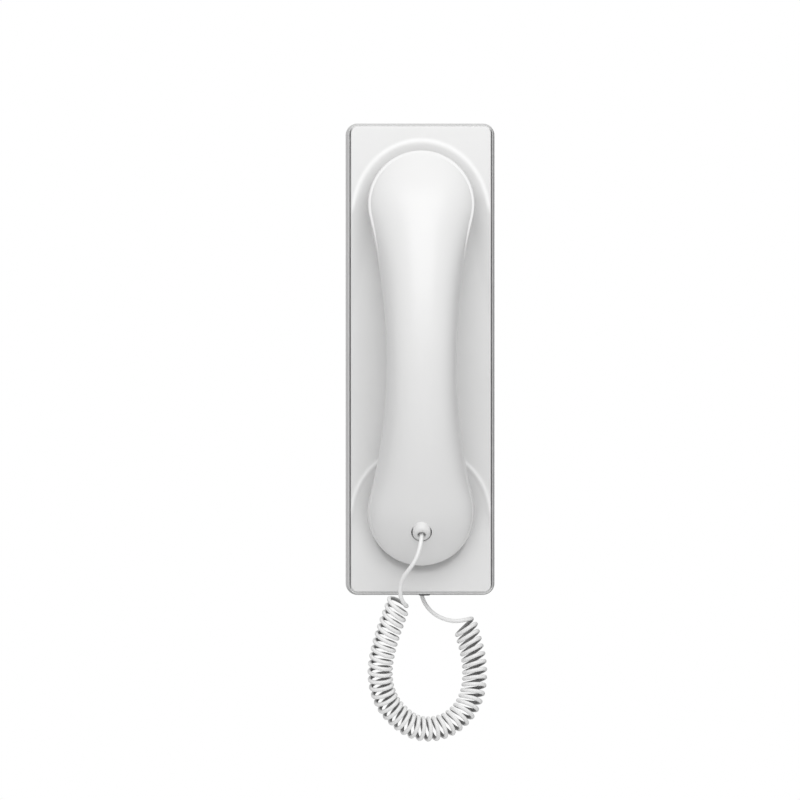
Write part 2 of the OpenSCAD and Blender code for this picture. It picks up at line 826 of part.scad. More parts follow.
// Directions along a row of points, and a vector across each that turns as little as it can
function directions(p) = [for (i = [0:len(p) - 1]) unit(p[min(i + 1, len(p) - 1)] - p[max(i - 1, 0)])];

function first_across(d) = unit(cross(d, abs(d[0]) < 0.8 ? [1, 0, 0] : [0, 1, 0]));

function across(d) = [
    for (
        i = 0, n = first_across(d[0]);
        i < len(d);
        n = i + 1 < len(d) ? unit(n - (n * d[i + 1]) * d[i + 1]) : n, i = i + 1
    ) n
];

// A closed tube of triangles along the points p
module tube(p, diameter, sides) {
    d = directions(p);
    n = across(d);
    rings = len(p);
    points = [
        for (i = [0:rings - 1], k = [0:sides - 1])
            p[i] + diameter / 2 * (cos(360 * k / sides) * n[i] + sin(360 * k / sides) * cross(d[i], n[i]))
    ];
    walls = [
        for (i = [0:rings - 2], k = [0:sides - 1])
            let (a = i * sides + k, b = i * sides + (k + 1) % sides)
            each [[a, a + sides, b], [b, a + sides, b + sides]]
    ];
    caps = [
        for (k = [1:sides - 2])
            each [[0, k, k + 1], [(rings - 1) * sides, (rings - 1) * sides + k + 1, (rings - 1) * sides + k]]
    ];
    polyhedron(points, concat(walls, caps));
}

// The points of a lead, straight for one diameter at both ends
function lead_points(p) =
    let (last = len(p) - 1)
    concat(
        [p[0], p[0] + cord_d * unit(p[1] - p[0])],
        [for (u = [1:1 / lead_rings:last - 1]) spline(p, u)],
        [p[last] - cord_d * unit(p[last] - p[last - 1]), p[last]]
    );

module handset_lead() {
    color("white") tube(lead_points(handset_lead_route()), cord_d, lead_sides);
}

module base_lead() {
    color("white") tube(lead_points(base_lead_route()), cord_d, lead_sides);
}

// Length along the axis of the curls, as pairs of length and place on the route
route_marks = [for (i = [0:route_steps * (len(coil_route) - 1)]) i / route_steps];

axis_lengths = [
    for (i = 0, s = 0; i < len(route_marks);
        s = s + (i + 1 < len(route_marks)
            ? norm(spline(coil_route, route_marks[i + 1]) - spline(coil_route, route_marks[i])) : 0),
        i = i + 1) s
];

axis_len = axis_lengths[len(axis_lengths) - 1];

axis_table = [for (i = [0:len(route_marks) - 1]) [axis_lengths[i], route_marks[i]]];

// A point on the helix; the curls lean towards the base where the leads take their pull
function curl_point(k) =
    let (
        last = curls * curl_rings,
        u = lookup(axis_len * k / last, axis_table),
        along = spline_dir(coil_route, u),
        inward = unit(cross(along, [0, 1, 0])),
        a = coil_phase - 360 * k / curl_rings,
        at_start = max(0, 1 - k / curl_rings / start_lean_curls),
        at_end = max(0, 1 - (last - k) / curl_rings / end_lean_curls),
        lean = tan(start_lean * at_start - end_lean * at_end) - axis_len / curls / (4 * coil_r)
    )
    spline(coil_route, u) + coil_r * (cos(a) * (inward + lean * along) + sin(a) * cross(along, inward));

curl_points = [for (k = [0:curls * curl_rings]) curl_point(k)];
coil_start_dir = unit(curl_point(0.2) - curl_point(0));
coil_end_dir = unit(curl_point(curls * curl_rings) - curl_point(curls * curl_rings - 0.2));
coil_start = curl_point(0) - cord_d * coil_start_dir;
coil_end = curl_point(curls * curl_rings) + cord_d * coil_end_dir;

module curly_cord() {
    p = concat([coil_start], curl_points, [coil_end]);
    gap = min([for (i = [0:len(p) - 6], k = [i + 5:min(i + 3 * curl_rings, len(p) - 1)]) norm(p[i] - p[k])]) - cord_d;
    echo("least gap between curls", gap);
    color("white") tube(p, cord_d, curl_sides);
}

rear_cover();
base_shell();
locking_screw();
main_board();
board_screws();
terminal_block();
terminal_screws();
control_chip();
capacitors();
cord_header();
hook_switch();
release_switch();
ringer();
ringer_gasket();
base_bush();
base_wires();
hook_plunger();
plunger_spring();
release_button();
handset_outer_shell();
handset_inner_shell();
handset_screws();
earpiece_capsule();
earpiece_gasket();
microphone();
microphone_boot();
handset_wires();
cord_gland();
handset_lead();
curly_cord();
base_lead();
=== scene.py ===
import json
import math

import bpy
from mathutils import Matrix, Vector
from mathutils.kdtree import KDTree
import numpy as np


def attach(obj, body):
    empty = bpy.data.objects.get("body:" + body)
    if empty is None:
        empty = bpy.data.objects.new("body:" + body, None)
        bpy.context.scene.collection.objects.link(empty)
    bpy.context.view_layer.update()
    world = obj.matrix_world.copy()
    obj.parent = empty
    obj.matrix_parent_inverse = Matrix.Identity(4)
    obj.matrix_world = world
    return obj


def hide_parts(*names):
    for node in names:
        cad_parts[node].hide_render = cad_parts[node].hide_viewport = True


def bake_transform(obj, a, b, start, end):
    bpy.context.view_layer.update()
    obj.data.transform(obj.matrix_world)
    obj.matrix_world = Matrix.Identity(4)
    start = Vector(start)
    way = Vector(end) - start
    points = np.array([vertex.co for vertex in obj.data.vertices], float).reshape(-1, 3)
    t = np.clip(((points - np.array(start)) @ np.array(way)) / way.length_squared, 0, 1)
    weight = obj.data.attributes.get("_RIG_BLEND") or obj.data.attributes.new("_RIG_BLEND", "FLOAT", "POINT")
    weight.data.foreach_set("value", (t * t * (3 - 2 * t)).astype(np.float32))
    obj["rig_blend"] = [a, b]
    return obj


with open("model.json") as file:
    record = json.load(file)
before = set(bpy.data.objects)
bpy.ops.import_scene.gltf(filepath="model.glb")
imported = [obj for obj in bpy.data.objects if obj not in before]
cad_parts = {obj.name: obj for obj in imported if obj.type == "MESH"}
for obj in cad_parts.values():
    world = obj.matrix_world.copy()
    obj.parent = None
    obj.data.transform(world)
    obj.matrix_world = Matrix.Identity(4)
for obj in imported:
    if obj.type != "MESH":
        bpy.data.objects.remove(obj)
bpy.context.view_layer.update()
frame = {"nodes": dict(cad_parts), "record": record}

# Lengths are millimetres until a mesh is made. A depth is a distance in front of the wall.
MM = 0.001
ACROSS = Vector((1, 0, 0))
FRONT = Vector((0, -1, 0))
BACK = Vector((0, 1, 0))
UP = Vector((0, 0, 1))

# Base
BASE_W = 68.4
BASE_H = 220.0
BASE_D = 26.0
BASE_LOW = -BASE_H / 2
BASE_WALL = 2.0
CORNER_R = 4.7
LEAST_CORNER_R = 0.25
SEAM_D = 11.0
SEAM_GAP = 0.1

# Cradle in the base's front
TROUGH_DEPTH = 5.5
TROUGH_R = 145.8
RECESS_R = 32.2
RECESS_Z = 66.6
DISH_R = 32.4
DISH_Z = -73.6
DISH_DEPTH = 8.0
BOSS_R = 9.0
BOSS_Z = 76.0
BOSS_TOP = 25.11
PLUNGER_Z = -61.0
BUTTON_Z = 4.0

# Handset
HANDSET_Z = 0.5
HALF_SPAN = 71.5
TOP_Z = HANDSET_Z + HALF_SPAN
LOW_Z = HANDSET_Z - HALF_SPAN
END_R = 25.0
WAIST_W = 32.4
WAIST_SHIFT = -2.5
HANDSET_WALL = 2.0
EAR_FACE = 22.61
MOUTH_FACE = 18.3
BACK_END = 25.61
BACK_DROP = 7.5
PART_END = 33.11
FRONT_RISE = 16.5
FRONT_BOW = 12.0
FRONT_R = HALF_SPAN ** 2 / (2 * FRONT_BOW)
ARCH_RISE = 12.0
SPLIT_SHARE = 0.3
WAIST_SHARE = 0.06
SQUARED = 0.95

# Cord
CORD_D = 1.9
COIL_R = 4.95
CURLS = 42


def spot(x, depth, z):
    """A place in metres, from millimetres across, in front of the wall and up."""
    return Vector((x * MM, -depth * MM, z * MM))


def metres(rows):
    return [Vector(row) * MM for row in rows]


def smooth(t):
    """A ramp from 0 to 1 that starts and ends level."""
    t = min(1.0, max(0.0, t))
    return t * t * (3 - 2 * t)


def mix(a, b, share):
    return tuple(p + (q - p) * share for p, q in zip(a, b))


def apart(a, b):
    return (b - a).length


def running(points, gap):
    """The length along a line of points, up to each of them."""
    lengths = [0.0]
    for before, after in zip(points, points[1:]):
        lengths.append(lengths[-1] + gap(before, after))
    return lengths


# Camera: a long lens, a little to the left of the object and above it

CAMERA_YAW = math.radians(-0.7)
CAMERA_RISE = math.radians(0.3)
CAMERA_REACH = 3.0
CAMERA_AIM = spot(-9.75, 26.0, -19.0)
SENSOR_W = 36
VIEW_W = 0.373


def add_camera():
    level = math.cos(CAMERA_RISE)
    away = Vector((math.sin(CAMERA_YAW) * level, -math.cos(CAMERA_YAW) * level, math.sin(CAMERA_RISE)))
    bpy.ops.object.select_all(action="DESELECT")
    bpy.ops.object.camera_add(location=CAMERA_AIM + away * CAMERA_REACH)
    camera = bpy.context.object
    camera.rotation_euler = (-away).to_track_quat("-Z", "Y").to_euler()
    camera.data.sensor_width = SENSOR_W
    camera.data.lens = SENSOR_W * CAMERA_REACH / VIEW_W
    bpy.context.scene.camera = camera


# Materials

MOTTLE_SCALE, MOTTLE_DETAIL = 45, 3
GRAIN_SCALE, GRAIN_DETAIL, GRAIN_HEIGHT = 2200, 2, 0.0002
GLOSS_SPREAD = 0.04
# Painted highlight on the rims of the recess and the dish
RIM_PAINTED_HIGHLIGHT = (0.98, 0.98, 0.98)
# Painted shade on the inside of the curls, which gets little light
CURL_PAINTED_SHADE = (0.3, 0.3, 0.3)


def plastic(name, colour, roughness=0.35, grain=0.03, mottle=0.015, mark="rim", mark_colour=RIM_PAINTED_HIGHLIGHT):
    """Moulded plastic: a fine grain, a faint unevenness of tone and gloss, and a second tone where marked, for
    painted highlights and painted shade.
    """
    material = bpy.data.materials.new(name)
    material.use_nodes = True
    nodes, links = material.node_tree.nodes, material.node_tree.links
    shader = nodes["Principled BSDF"]
    place = nodes.new("ShaderNodeTexCoord")

    broad = nodes.new("ShaderNodeTexNoise")
    broad.inputs["Scale"].default_value = MOTTLE_SCALE
    broad.inputs["Detail"].default_value = MOTTLE_DETAIL
    links.new(place.outputs["Object"], broad.inputs["Vector"])
    tone = nodes.new("ShaderNodeMapRange")
    tone.inputs["To Min"].default_value = 1 - mottle
    tone.inputs["To Max"].default_value = 1 + mottle
    links.new(broad.outputs["Fac"], tone.inputs["Value"])
    tint = nodes.new("ShaderNodeMix")
    tint.data_type = "RGBA"
    tint.blend_type = "MULTIPLY"
    tint.inputs["Factor"].default_value = 1
    tint.inputs["A"].default_value = (*colour, 1)
    links.new(tone.outputs["Result"], tint.inputs["B"])

    # The second tone: painted highlight on the rims, painted shade inside the curls
    marked = nodes.new("ShaderNodeAttribute")
    marked.attribute_name = mark
    second = nodes.new("ShaderNodeMix")
    second.data_type = "RGBA"
    second.inputs["B"].default_value = (*mark_colour, 1)
    links.new(marked.outputs["Fac"], second.inputs["Factor"])
    links.new(tint.outputs["Result"], second.inputs["A"])
    links.new(second.outputs["Result"], shader.inputs["Base Color"])

    gloss = nodes.new("ShaderNodeMapRange")
    gloss.inputs["To Min"].default_value = roughness - GLOSS_SPREAD
    gloss.inputs["To Max"].default_value = roughness + GLOSS_SPREAD
    links.new(broad.outputs["Fac"], gloss.inputs["Value"])
    links.new(gloss.outputs["Result"], shader.inputs["Roughness"])

    fine = nodes.new("ShaderNodeTexNoise")
    fine.inputs["Scale"].default_value = GRAIN_SCALE
    fine.inputs["Detail"].default_value = GRAIN_DETAIL
    links.new(place.outputs["Object"], fine.inputs["Vector"])
    bump = nodes.new("ShaderNodeBump")
    bump.inputs["Strength"].default_value = grain
    bump.inputs["Distance"].default_value = GRAIN_HEIGHT
    links.new(fine.outputs["Fac"], bump.inputs["Height"])
    links.new(bump.outputs["Normal"], shader.inputs["Normal"])
    return material


def metal(name, colour, roughness):
    """Plated steel with a fine grain."""
    material = plastic(name, colour, roughness, grain=0.06, mottle=0.05)
    material.node_tree.nodes["Principled BSDF"].inputs["Metallic"].default_value = 1
    return material


MATERIALS = {
    # The base shell's rims get a painted highlight from the 'rim' mark
    "shell_white": plastic("shell_white", (0.83, 0.83, 0.828), 0.33),
    "cover_white": plastic("cover_white", (0.80, 0.80, 0.795), 0.42, grain=0.05),
    "gland_white": plastic("gland_white", (0.82, 0.82, 0.818), 0.4),
    "plunger_white": plastic("plunger_white", (0.84, 0.84, 0.83), 0.3),
    "button_grey": plastic("button_grey", (0.60, 0.61, 0.62), 0.38),
    # The curls get painted shade on their inside, from the 'inside' mark
    "cord_white": plastic("cord_white", (0.94, 0.94, 0.938), 0.3, grain=0.02,
                          mark="inside", mark_colour=CURL_PAINTED_SHADE),
    "wire_ivory": plastic("wire_ivory", (0.80, 0.76, 0.62), 0.45),
    "bush_rubber": plastic("bush_rubber", (0.10, 0.10, 0.10), 0.7, grain=0.08),
    "black_rubber": plastic("black_rubber", (0.03, 0.03, 0.03), 0.75, grain=0.08),
    "screw_steel": metal("screw_steel", (0.62, 0.62, 0.60), 0.32),
    "spring_steel": metal("spring_steel", (0.55, 0.55, 0.56), 0.25),
    "board_green": plastic("board_green", (0.03, 0.20, 0.07), 0.35, mottle=0.1),
    "terminal_green": plastic("terminal_green", (0.04, 0.32, 0.12), 0.45),
    "black_plastic": plastic("black_plastic", (0.02, 0.02, 0.022), 0.4),
    "capacitor_sleeve": plastic("capacitor_sleeve", (0.04, 0.05, 0.12), 0.3),
    "header_ivory": plastic("header_ivory", (0.82, 0.78, 0.68), 0.45),
    "microphone_can": metal("microphone_can", (0.66, 0.66, 0.64), 0.35),
}


def coat(piece, slot):
    piece.data.materials.clear()
    piece.data.materials.append(MATERIALS[slot])


def finish(piece, slot, body, *nodes):
    """Gives a piece its material, the body that it rides on, and the solids that it stands for."""
    coat(piece, slot)
    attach(piece, body)
    if nodes:
        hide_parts(*nodes)


# Modelling helpers

# Points nearer than this, in metres, are merged: in a finished piece, and where a skin is folded flat
MERGE_NEAR = 3e-6
FOLD_NEAR = 2e-6


def pick(piece):
    """Selects the piece alone and makes it the active one."""
    bpy.ops.object.select_all(action="DESELECT")
    bpy.context.view_layer.objects.active = piece
    piece.select_set(True)


def start_edit(piece):
    pick(piece)
    bpy.ops.object.mode_set(mode="EDIT")
    bpy.ops.mesh.select_all(action="SELECT")


def end_edit():
    bpy.ops.object.mode_set(mode="OBJECT")


def tidy(piece, angle=35):
    """Merges doubled points, turns the faces outwards and shades them."""
    start_edit(piece)
    bpy.ops.mesh.remove_doubles(threshold=MERGE_NEAR)
    bpy.ops.mesh.normals_make_consistent(inside=False)
    end_edit()
    bpy.ops.object.shade_smooth_by_angle(angle=math.radians(angle))


def new_piece(name, points, edges=(), faces=()):
    mesh = bpy.data.meshes.new(name)
    mesh.from_pydata(points, edges, faces)
    piece = bpy.data.objects.new(name, mesh)
    bpy.context.collection.objects.link(piece)
    return piece


def loft(name, loops):
    """Skins a row of closed loops. The first and the last loop are folded flat, so the skin closes there."""
    count = len(loops[0])
    points = [p for loop in loops for p in loop]
    faces = []
    for row in range(len(loops) - 1):
        for k in range(count):
            a, b = row * count + k, row * count + (k + 1) % count
            faces.append((a, b, b + count, a + count))
    piece = new_piece(name, points, (), faces)
    start_edit(piece)
    bpy.ops.mesh.remove_doubles(threshold=FOLD_NEAR)
    end_edit()
    return piece


def turned(name, profile, centre, axis, steps=64):
    """Spins a profile of (radius, height) pairs round an axis through the centre."""
    axis = axis.normalized()
    side = axis.orthogonal().normalized()
    points = [centre + side * (r * MM) + axis * (h * MM) for r, h in profile]
    piece = new_piece(name, points, [(i, i + 1) for i in range(len(points) - 1)])
    start_edit(piece)
    bpy.ops.mesh.spin(steps=steps, angle=math.tau, center=centre, axis=axis)
    end_edit()
    tidy(piece)
    return piece


def rounded(corner_r, corner_h, radius, start, end, steps=5):
    """Points of a profile's rounded corner, round the given centre."""
    angles = [math.radians(start + (end - start) * i / steps) for i in range(steps + 1)]
    return [(corner_r + radius * math.cos(a), corner_h + radius * math.sin(a)) for a in angles]


def drill(radius, length, centre, axis, vertices=32):
    """A cutter: a cylinder whose middle lies at the centre."""
    bpy.ops.object.select_all(action="DESELECT")
    bpy.ops.mesh.primitive_cylinder_add(
        vertices=vertices, radius=radius * MM, depth=length * MM, location=centre,
        rotation=axis.to_track_quat("Z", "Y").to_euler())
    return bpy.context.object


def combine(piece, others, operation):
    """Joins the other meshes into one, and adds them to the piece or cuts them from it."""
    bpy.ops.object.select_all(action="DESELECT")
    for other in others:
        other.select_set(True)
    bpy.context.view_layer.objects.active = others[0]
    if len(others) > 1:
        bpy.ops.object.join()
    tool = bpy.context.view_layer.objects.active
    pick(piece)
    change = piece.modifiers.new("combine", "BOOLEAN")
    change.operation = operation
    change.solver = "EXACT"
    change.object = tool
    bpy.ops.object.modifier_apply(modifier=change.name)
    bpy.data.objects.remove(tool, do_unlink=True)


SOUND_HOLE_R = 0.8
SOUND_HOLE_SIDES = 20
SOUND_RING = 6


def sound_holes(depth, z, ring_r, length):
    """Cutters for a sound hole in the middle and a ring of them round it."""
    places = [(0, 0)]
    for i in range(SOUND_RING):
        a = math.tau * i / SOUND_RING
        places.append((ring_r * math.cos(a), ring_r * math.sin(a)))
    return [drill(SOUND_HOLE_R, length, spot(x, depth, z + up), FRONT, SOUND_HOLE_SIDES) for x, up in places]


# Handset form: half width, widest line, front and back at a height, inset by t

def half_width(z, t):
    from_waist = abs(z - HANDSET_Z - WAIST_SHIFT)
    reach = HALF_SPAN - WAIST_SHIFT if z >= HANDSET_Z + WAIST_SHIFT else HALF_SPAN + WAIST_SHIFT
    half = WAIST_W / 2 - t
    r = (reach ** 2 + half ** 2 - (END_R - t) ** 2) / (2 * (END_R - WAIST_W / 2))
    if from_waist <= reach * r / (r + END_R - t):
        return half + r - math.sqrt(r * r - from_waist ** 2)
    return math.sqrt(max(0.0, (END_R - t) ** 2 - (from_waist - reach) ** 2))


def past_end(z, t):
    """How far a height lies past the centre of the handset's end, as a share of the end's radius."""
    return min(1.0, max(0.0, abs(z - HANDSET_Z) - HALF_SPAN) / (END_R - t))


def arch(z):
    return (1 + math.cos(math.pi * min(1.0, abs(z - HANDSET_Z) / HALF_SPAN))) / 2


def widest(z):
    return PART_END + ARCH_RISE * arch(z)


def crown(z, t):
    """Height of the front above the widest line, at the middle."""
    return PART_END + FRONT_RISE + FRONT_BOW - (z - HANDSET_Z) ** 2 / (2 * FRONT_R) - widest(z) - t


def handset_front(z):
    return widest(z) + crown(z, 0) * math.sqrt(1 - past_end(z, 0) ** 2)


def back_height(z, t):
    return (BACK_DROP - t) * math.sqrt(1 - past_end(z, t) ** 4)


# Cord: a lead from the base, the curls, and a lead to the handset

COIL_ROUTE = metres([
    (-10, -38.5, -112), (-12.5, -37, -119), (-15.5, -35.5, -127), (-18, -34, -136), (-19.5, -32.5, -145),
    (-18.5, -30.5, -153.5), (-15.5, -28.5, -161), (-10, -26.5, -167), (-4, -25, -171.5), (3, -23.5, -173),
    (10, -22, -172), (16.5, -20.5, -168.5), (21.5, -19, -163), (24.5, -18, -156), (25.5, -17, -148),
    (25, -16.5, -140), (23, -16, -132), (20.5, -15.5, -123),
])
COIL_PHASE = 65
START_LEAN, START_LEAN_CURLS = 24, 16
END_LEAN, END_LEAN_CURLS = 16, 14
LAST_CURL = CURLS - 0.125
HANDSET_LEAD_ROUTE = metres([
    (-0.8, -51, -87), (-2.2, -52, -91.5), (-4.4, -51.5, -95.5), (-7.8, -49.5, -99.5),
    (-9.8, -47, -103.5), (-10, -45.4, -107.5), (-9.9, -44.3, -111),
])
BASE_LEAD_ROUTE = metres([
    (18, -20.4, -122.7), (14.5, -19.6, -122.3), (10.5, -18.3, -121.4), (6.3, -16.6, -119.3),
    (3.2, -15.2, -116.2), (1.3, -14.4, -113), (0.5, -14, -110),
])
# Where the handset's lead starts, and how far it first runs straight
GLAND_Z = -80.5
GLAND_TILT = math.radians(36)
GLAND_OUT = 0.5
GLAND_RUN = 3
# How finely the route, the leads and the curls are stepped, and the step that gives a spline's direction
ROUTE_STEPS = 16
LEAD_STEPS = 6
TURN_POINTS = 24
SPLINE_STEP = 0.01
# How round the tube is, and the angle up to which it is shaded smooth
TUBE_ROUND = 4
TUBE_SHADE = 60
# Where the painted shade begins on the curls, from -1 facing outwards to 1 facing inwards, and its run
PAINTED_SHADE_FROM, PAINTED_SHADE_RUN = -0.1, 0.9


def spline(points, u):
    """A smooth curve led by the points, where u counts them."""
    i = min(int(u), len(points) - 2)
    t = u - i
    s = 1 - t
    b, c = points[i], points[i + 1]
    a = points[i - 1] if i > 0 else 2 * b - c
    d = points[i + 2] if i + 2 < len(points) else 2 * c - b
    b_share, c_share = 3 * t ** 3 - 6 * t * t + 4, 3 * s ** 3 - 6 * s * s + 4
    return (a * s ** 3 + b * b_share + c * c_share + d * t ** 3) / 6


def spline_dir(points, u):
    after, before = min(u + SPLINE_STEP, len(points) - 1), max(u - SPLINE_STEP, 0)
    return (spline(points, after) - spline(points, before)).normalized()


route_marks = [i / ROUTE_STEPS for i in range(ROUTE_STEPS * (len(COIL_ROUTE) - 1) + 1)]
route_lengths = running([spline(COIL_ROUTE, u) for u in route_marks], apart)
axis_len = route_lengths[-1]


def route_at(length):
    """The place on the route at a length along it."""
    for i in range(1, len(route_lengths)):
        if length <= route_lengths[i]:
            share = (length - route_lengths[i - 1]) / (route_lengths[i] - route_lengths[i - 1])
            return route_marks[i - 1] + share / ROUTE_STEPS
    return route_marks[-1]


def curl_point(turn):
    """A point on the helix, where turn counts the curls from the handset's end."""
    u = route_at(axis_len * turn / CURLS)
    along = spline_dir(COIL_ROUTE, u)
    inward = along.cross(BACK).normalized()
    angle = math.radians(COIL_PHASE - 360 * turn)
    at_start = max(0.0, 1 - turn / START_LEAN_CURLS)
    at_end = max(0.0, 1 - (CURLS - turn) / END_LEAN_CURLS)
    tilt = math.radians(START_LEAN * at_start - END_LEAN * at_end)
    lean = math.tan(tilt) - axis_len / CURLS / (4 * COIL_R * MM)
    ring = math.cos(angle) * (inward + lean * along) + math.sin(angle) * along.cross(inward)
    return spline(COIL_ROUTE, u) + ring * (COIL_R * MM)


def lead_points(route):
    """Points of a lead, straight for one diameter at both ends."""
    last = len(route) - 1
    first_dir = (route[1] - route[0]).normalized()
    last_dir = (route[last] - route[last - 1]).normalized()
    middle = [spline(route, 1 + i / LEAD_STEPS) for i in range(LEAD_STEPS * (last - 2) + 1)]
    return ([route[0], route[0] + first_dir * (CORD_D * MM)] + middle
            + [route[last] - last_dir * (CORD_D * MM), route[last]])


def eased(points, middle, reach=7, rounds=14):
    """Rounds the place where two stretches of the cord meet."""
    points = list(points)
    for _ in range(rounds):
        for i in range(middle - reach, middle + reach):
            points[i] = points[i] * 0.5 + (points[i - 1] + points[i + 1]) * 0.25
    return points


gland_axis = Vector((0, -math.cos(GLAND_TILT), -math.sin(GLAND_TILT)))
gland_mouth = spot(0, handset_front(GLAND_Z), GLAND_Z) + gland_axis * (GLAND_OUT * MM)
handset_lead = lead_points(
    [gland_mouth, gland_mouth + gland_axis * (GLAND_RUN * MM)] + HANDSET_LEAD_ROUTE + [curl_point(0)])
base_lead = lead_points([curl_point(LAST_CURL)] + BASE_LEAD_ROUTE)
curls = [curl_point(i / TURN_POINTS) for i in range(int(LAST_CURL * TURN_POINTS) + 1)]

# The whole cord, turned round at last so that it runs from the base to the handset
cord_path = handset_lead[:-1] + curls + base_lead[1:]
cord_path = eased(cord_path, len(handset_lead) - 1)
cord_path = eased(cord_path, len(cord_path) - len(base_lead))[::-1]
cord_lengths = running(cord_path, apart)


def cord_tube():
    curve = bpy.data.curves.new("cord", "CURVE")
    curve.dimensions = "3D"
    line = curve.splines.new("POLY")
    line.points.add(len(cord_path) - 1)
    for point, place in zip(line.points, cord_path):
        point.co = (*place, 1)
    curve.bevel_depth = CORD_D * MM / 2
    curve.bevel_resolution = TUBE_ROUND
    curve.use_fill_caps = True
    cord = bpy.data.objects.new("cord", curve)
    bpy.context.collection.objects.link(cord)
    pick(cord)
    bpy.ops.object.convert(target="MESH")
    cord = bpy.context.object
    tidy(cord, TUBE_SHADE)
    return cord


def painted_curl_shade(place, middle, turn):
    """How far a place on the curls faces the inside of the coil, where shade is painted into the colour."""
    axis = spline(COIL_ROUTE, route_at(axis_len * turn / CURLS))
    facing = (place - middle).normalized().dot((axis - middle).normalized())
    return smooth((facing - PAINTED_SHADE_FROM) / PAINTED_SHADE_RUN)


def share_out(cord):
    """Sets how far each point goes with the handset, evenly along the curls, and marks the curls' inside for
    its painted shade.
    """
    tree = KDTree(len(cord_path))
    for i, place in enumerate(cord_path):
        tree.insert(place, i)
    tree.balance()
    first, last = cord_lengths[len(base_lead)], cord_lengths[-len(handset_lead)]
    # The 'inside' attribute holds the painted shade on the curls' inside
    cord.data.attributes.new("inside", "FLOAT", "POINT")
    weights = cord.data.attributes["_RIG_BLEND"].data
    painted_shade_values = cord.data.attributes["inside"].data
    for vertex in cord.data.vertices:
        nearest = tree.find(vertex.co)[1]
        weights[vertex.index].value = min(1.0, max(0.0, (cord_lengths[nearest] - first) / (last - first)))
        turn = (len(cord_path) - len(handset_lead) - nearest) / TURN_POINTS
        inside = painted_curl_shade(vertex.co, cord_path[nearest], turn) if 0 < turn < LAST_CURL else 0.0
        painted_shade_values[vertex.index].value = inside


def add_cord():
    """A tube along the route, which stretches as the handset is lifted."""
    cord = cord_tube()
    coat(cord, "cord_white")
    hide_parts("handset_lead", "curly_cord", "base_lead")
    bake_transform(cord, "base", "handset", start=tuple(cord_path[0]), end=tuple(cord_path[-1]))
    share_out(cord)


# Base front shell

# The recess: its arch is a little taller than a half circle, and a ramp runs down from its rim
RECESS_TALL = 1.115
RIM_R = RECESS_R - 1.8
RIM_RUN = 11.25
RIM_EASE = 1.5
# The trough's sides open out below this height above the recess's centre
OPEN_RISE = 10.0
OPEN_SLOPE = 0.22
# The trough's foot, from below the dish's centre
FOOT_BELOW = 25
FOOT_RUN = 35
# The dish: a beaded and creased rim above, a soft floor below
DISH_BEAD = 0.4
DISH_CREASE = 0.6
DISH_SLOPE = 0.12
DISH_BEND = 0.012
SOFT_R = 16.5
SOFT_RUN = 10
SOFT_ABOVE = 4
SOFT_FADE = 16
# Bands of painted highlight on the rims
BAND_MIDDLE = RECESS_R - 0.3
BAND_HALF = 1.5
BAND_FADE = 6
DISH_BAND_HALF = 1.4
DISH_BAND_BELOW = 2
DISH_BAND_FADE = 8
FACE_FROM = SEAM_D + 4
# The sides' lean
SIDE_OUT = 0.85
SIDE_IN = 0.6
EDGE_D = BASE_D - 1.0
# The front edge and the line round the panel: how far in from the side, and how far behind the panel
EDGE = [
    (0.6, 1.0), (0.62, 0.8), (0.67, 0.65), (0.75, 0.6), (0.83, 0.68), (0.89, 1.0), (0.93, 1.7), (1.0, 2.0),
    (1.4, 2.0), (1.48, 1.7), (1.54, 0.9), (1.6, 0.4), (1.68, 0.13), (1.8, 0.03), (1.95, 0.0),
]
GROOVE_TOP = 1.0
SIDE_GROOVE = 4.0
END_GROOVE = 0.2
GROOVE_END = 2
GROOVE_FADE = 4
# Points along a side, along an end and round a corner, and rows of the panel and of the hollow behind it
SHELL_GRID = (340, 104, 10)
PANEL_INSET = 2.2
PANEL_ROWS = 54
HOLLOW_INSET = 2.2
HOLLOW_ROWS = [BASE_W / 2, 31, 27, 22, 17, 12, 8, 5, 3.4, 2.8, HOLLOW_INSET]
# Holes for the plunger and the button
FRONT_CUT = 12
PLUNGER_HOLE_R, PLUNGER_HOLE_D, PLUNGER_HOLE_SIDES = 4.1, 18, 48
BUTTON_HOLE_R, BUTTON_HOLE_D, BUTTON_HOLE_SIDES = 6.6, 20, 64
# Holes in the bottom edge: the locking screw's, and the slot for the rubber bush
LOCK_X, LOCK_D = 18, 16
LOCK_HEAD_R, LOCK_HEAD_CUT = 2.7, 4.4
LOCK_SHANK_R, LOCK_SHANK_CUT, LOCK_SHANK_UP = 1.6, 8, 2
BUSH_X, BUSH_D, BUSH_HALF = 1.8, 14, 0.9
BUSH_SLOT_R, BUSH_SLOT_CUT = 1.8, 6


def trough_drop(x, z):
    """How far the trough lies behind the panel. Its round top slopes from a rim, and its sides are open."""
    r = math.hypot(x, max(0.0, z - RECESS_Z) / RECESS_TALL)
    sag = TROUGH_R - math.sqrt(TROUGH_R ** 2 - r * r)
    rim_r = RIM_R + OPEN_SLOPE * max(0.0, RECESS_Z + OPEN_RISE - z)
    rim = 1 - (1 - min(1.0, max(0.0, rim_r - r) / RIM_RUN)) ** RIM_EASE
    foot = smooth((z - DISH_Z + FOOT_BELOW) / FOOT_RUN)
    return max(0.0, TROUGH_DEPTH - sag) * rim * foot


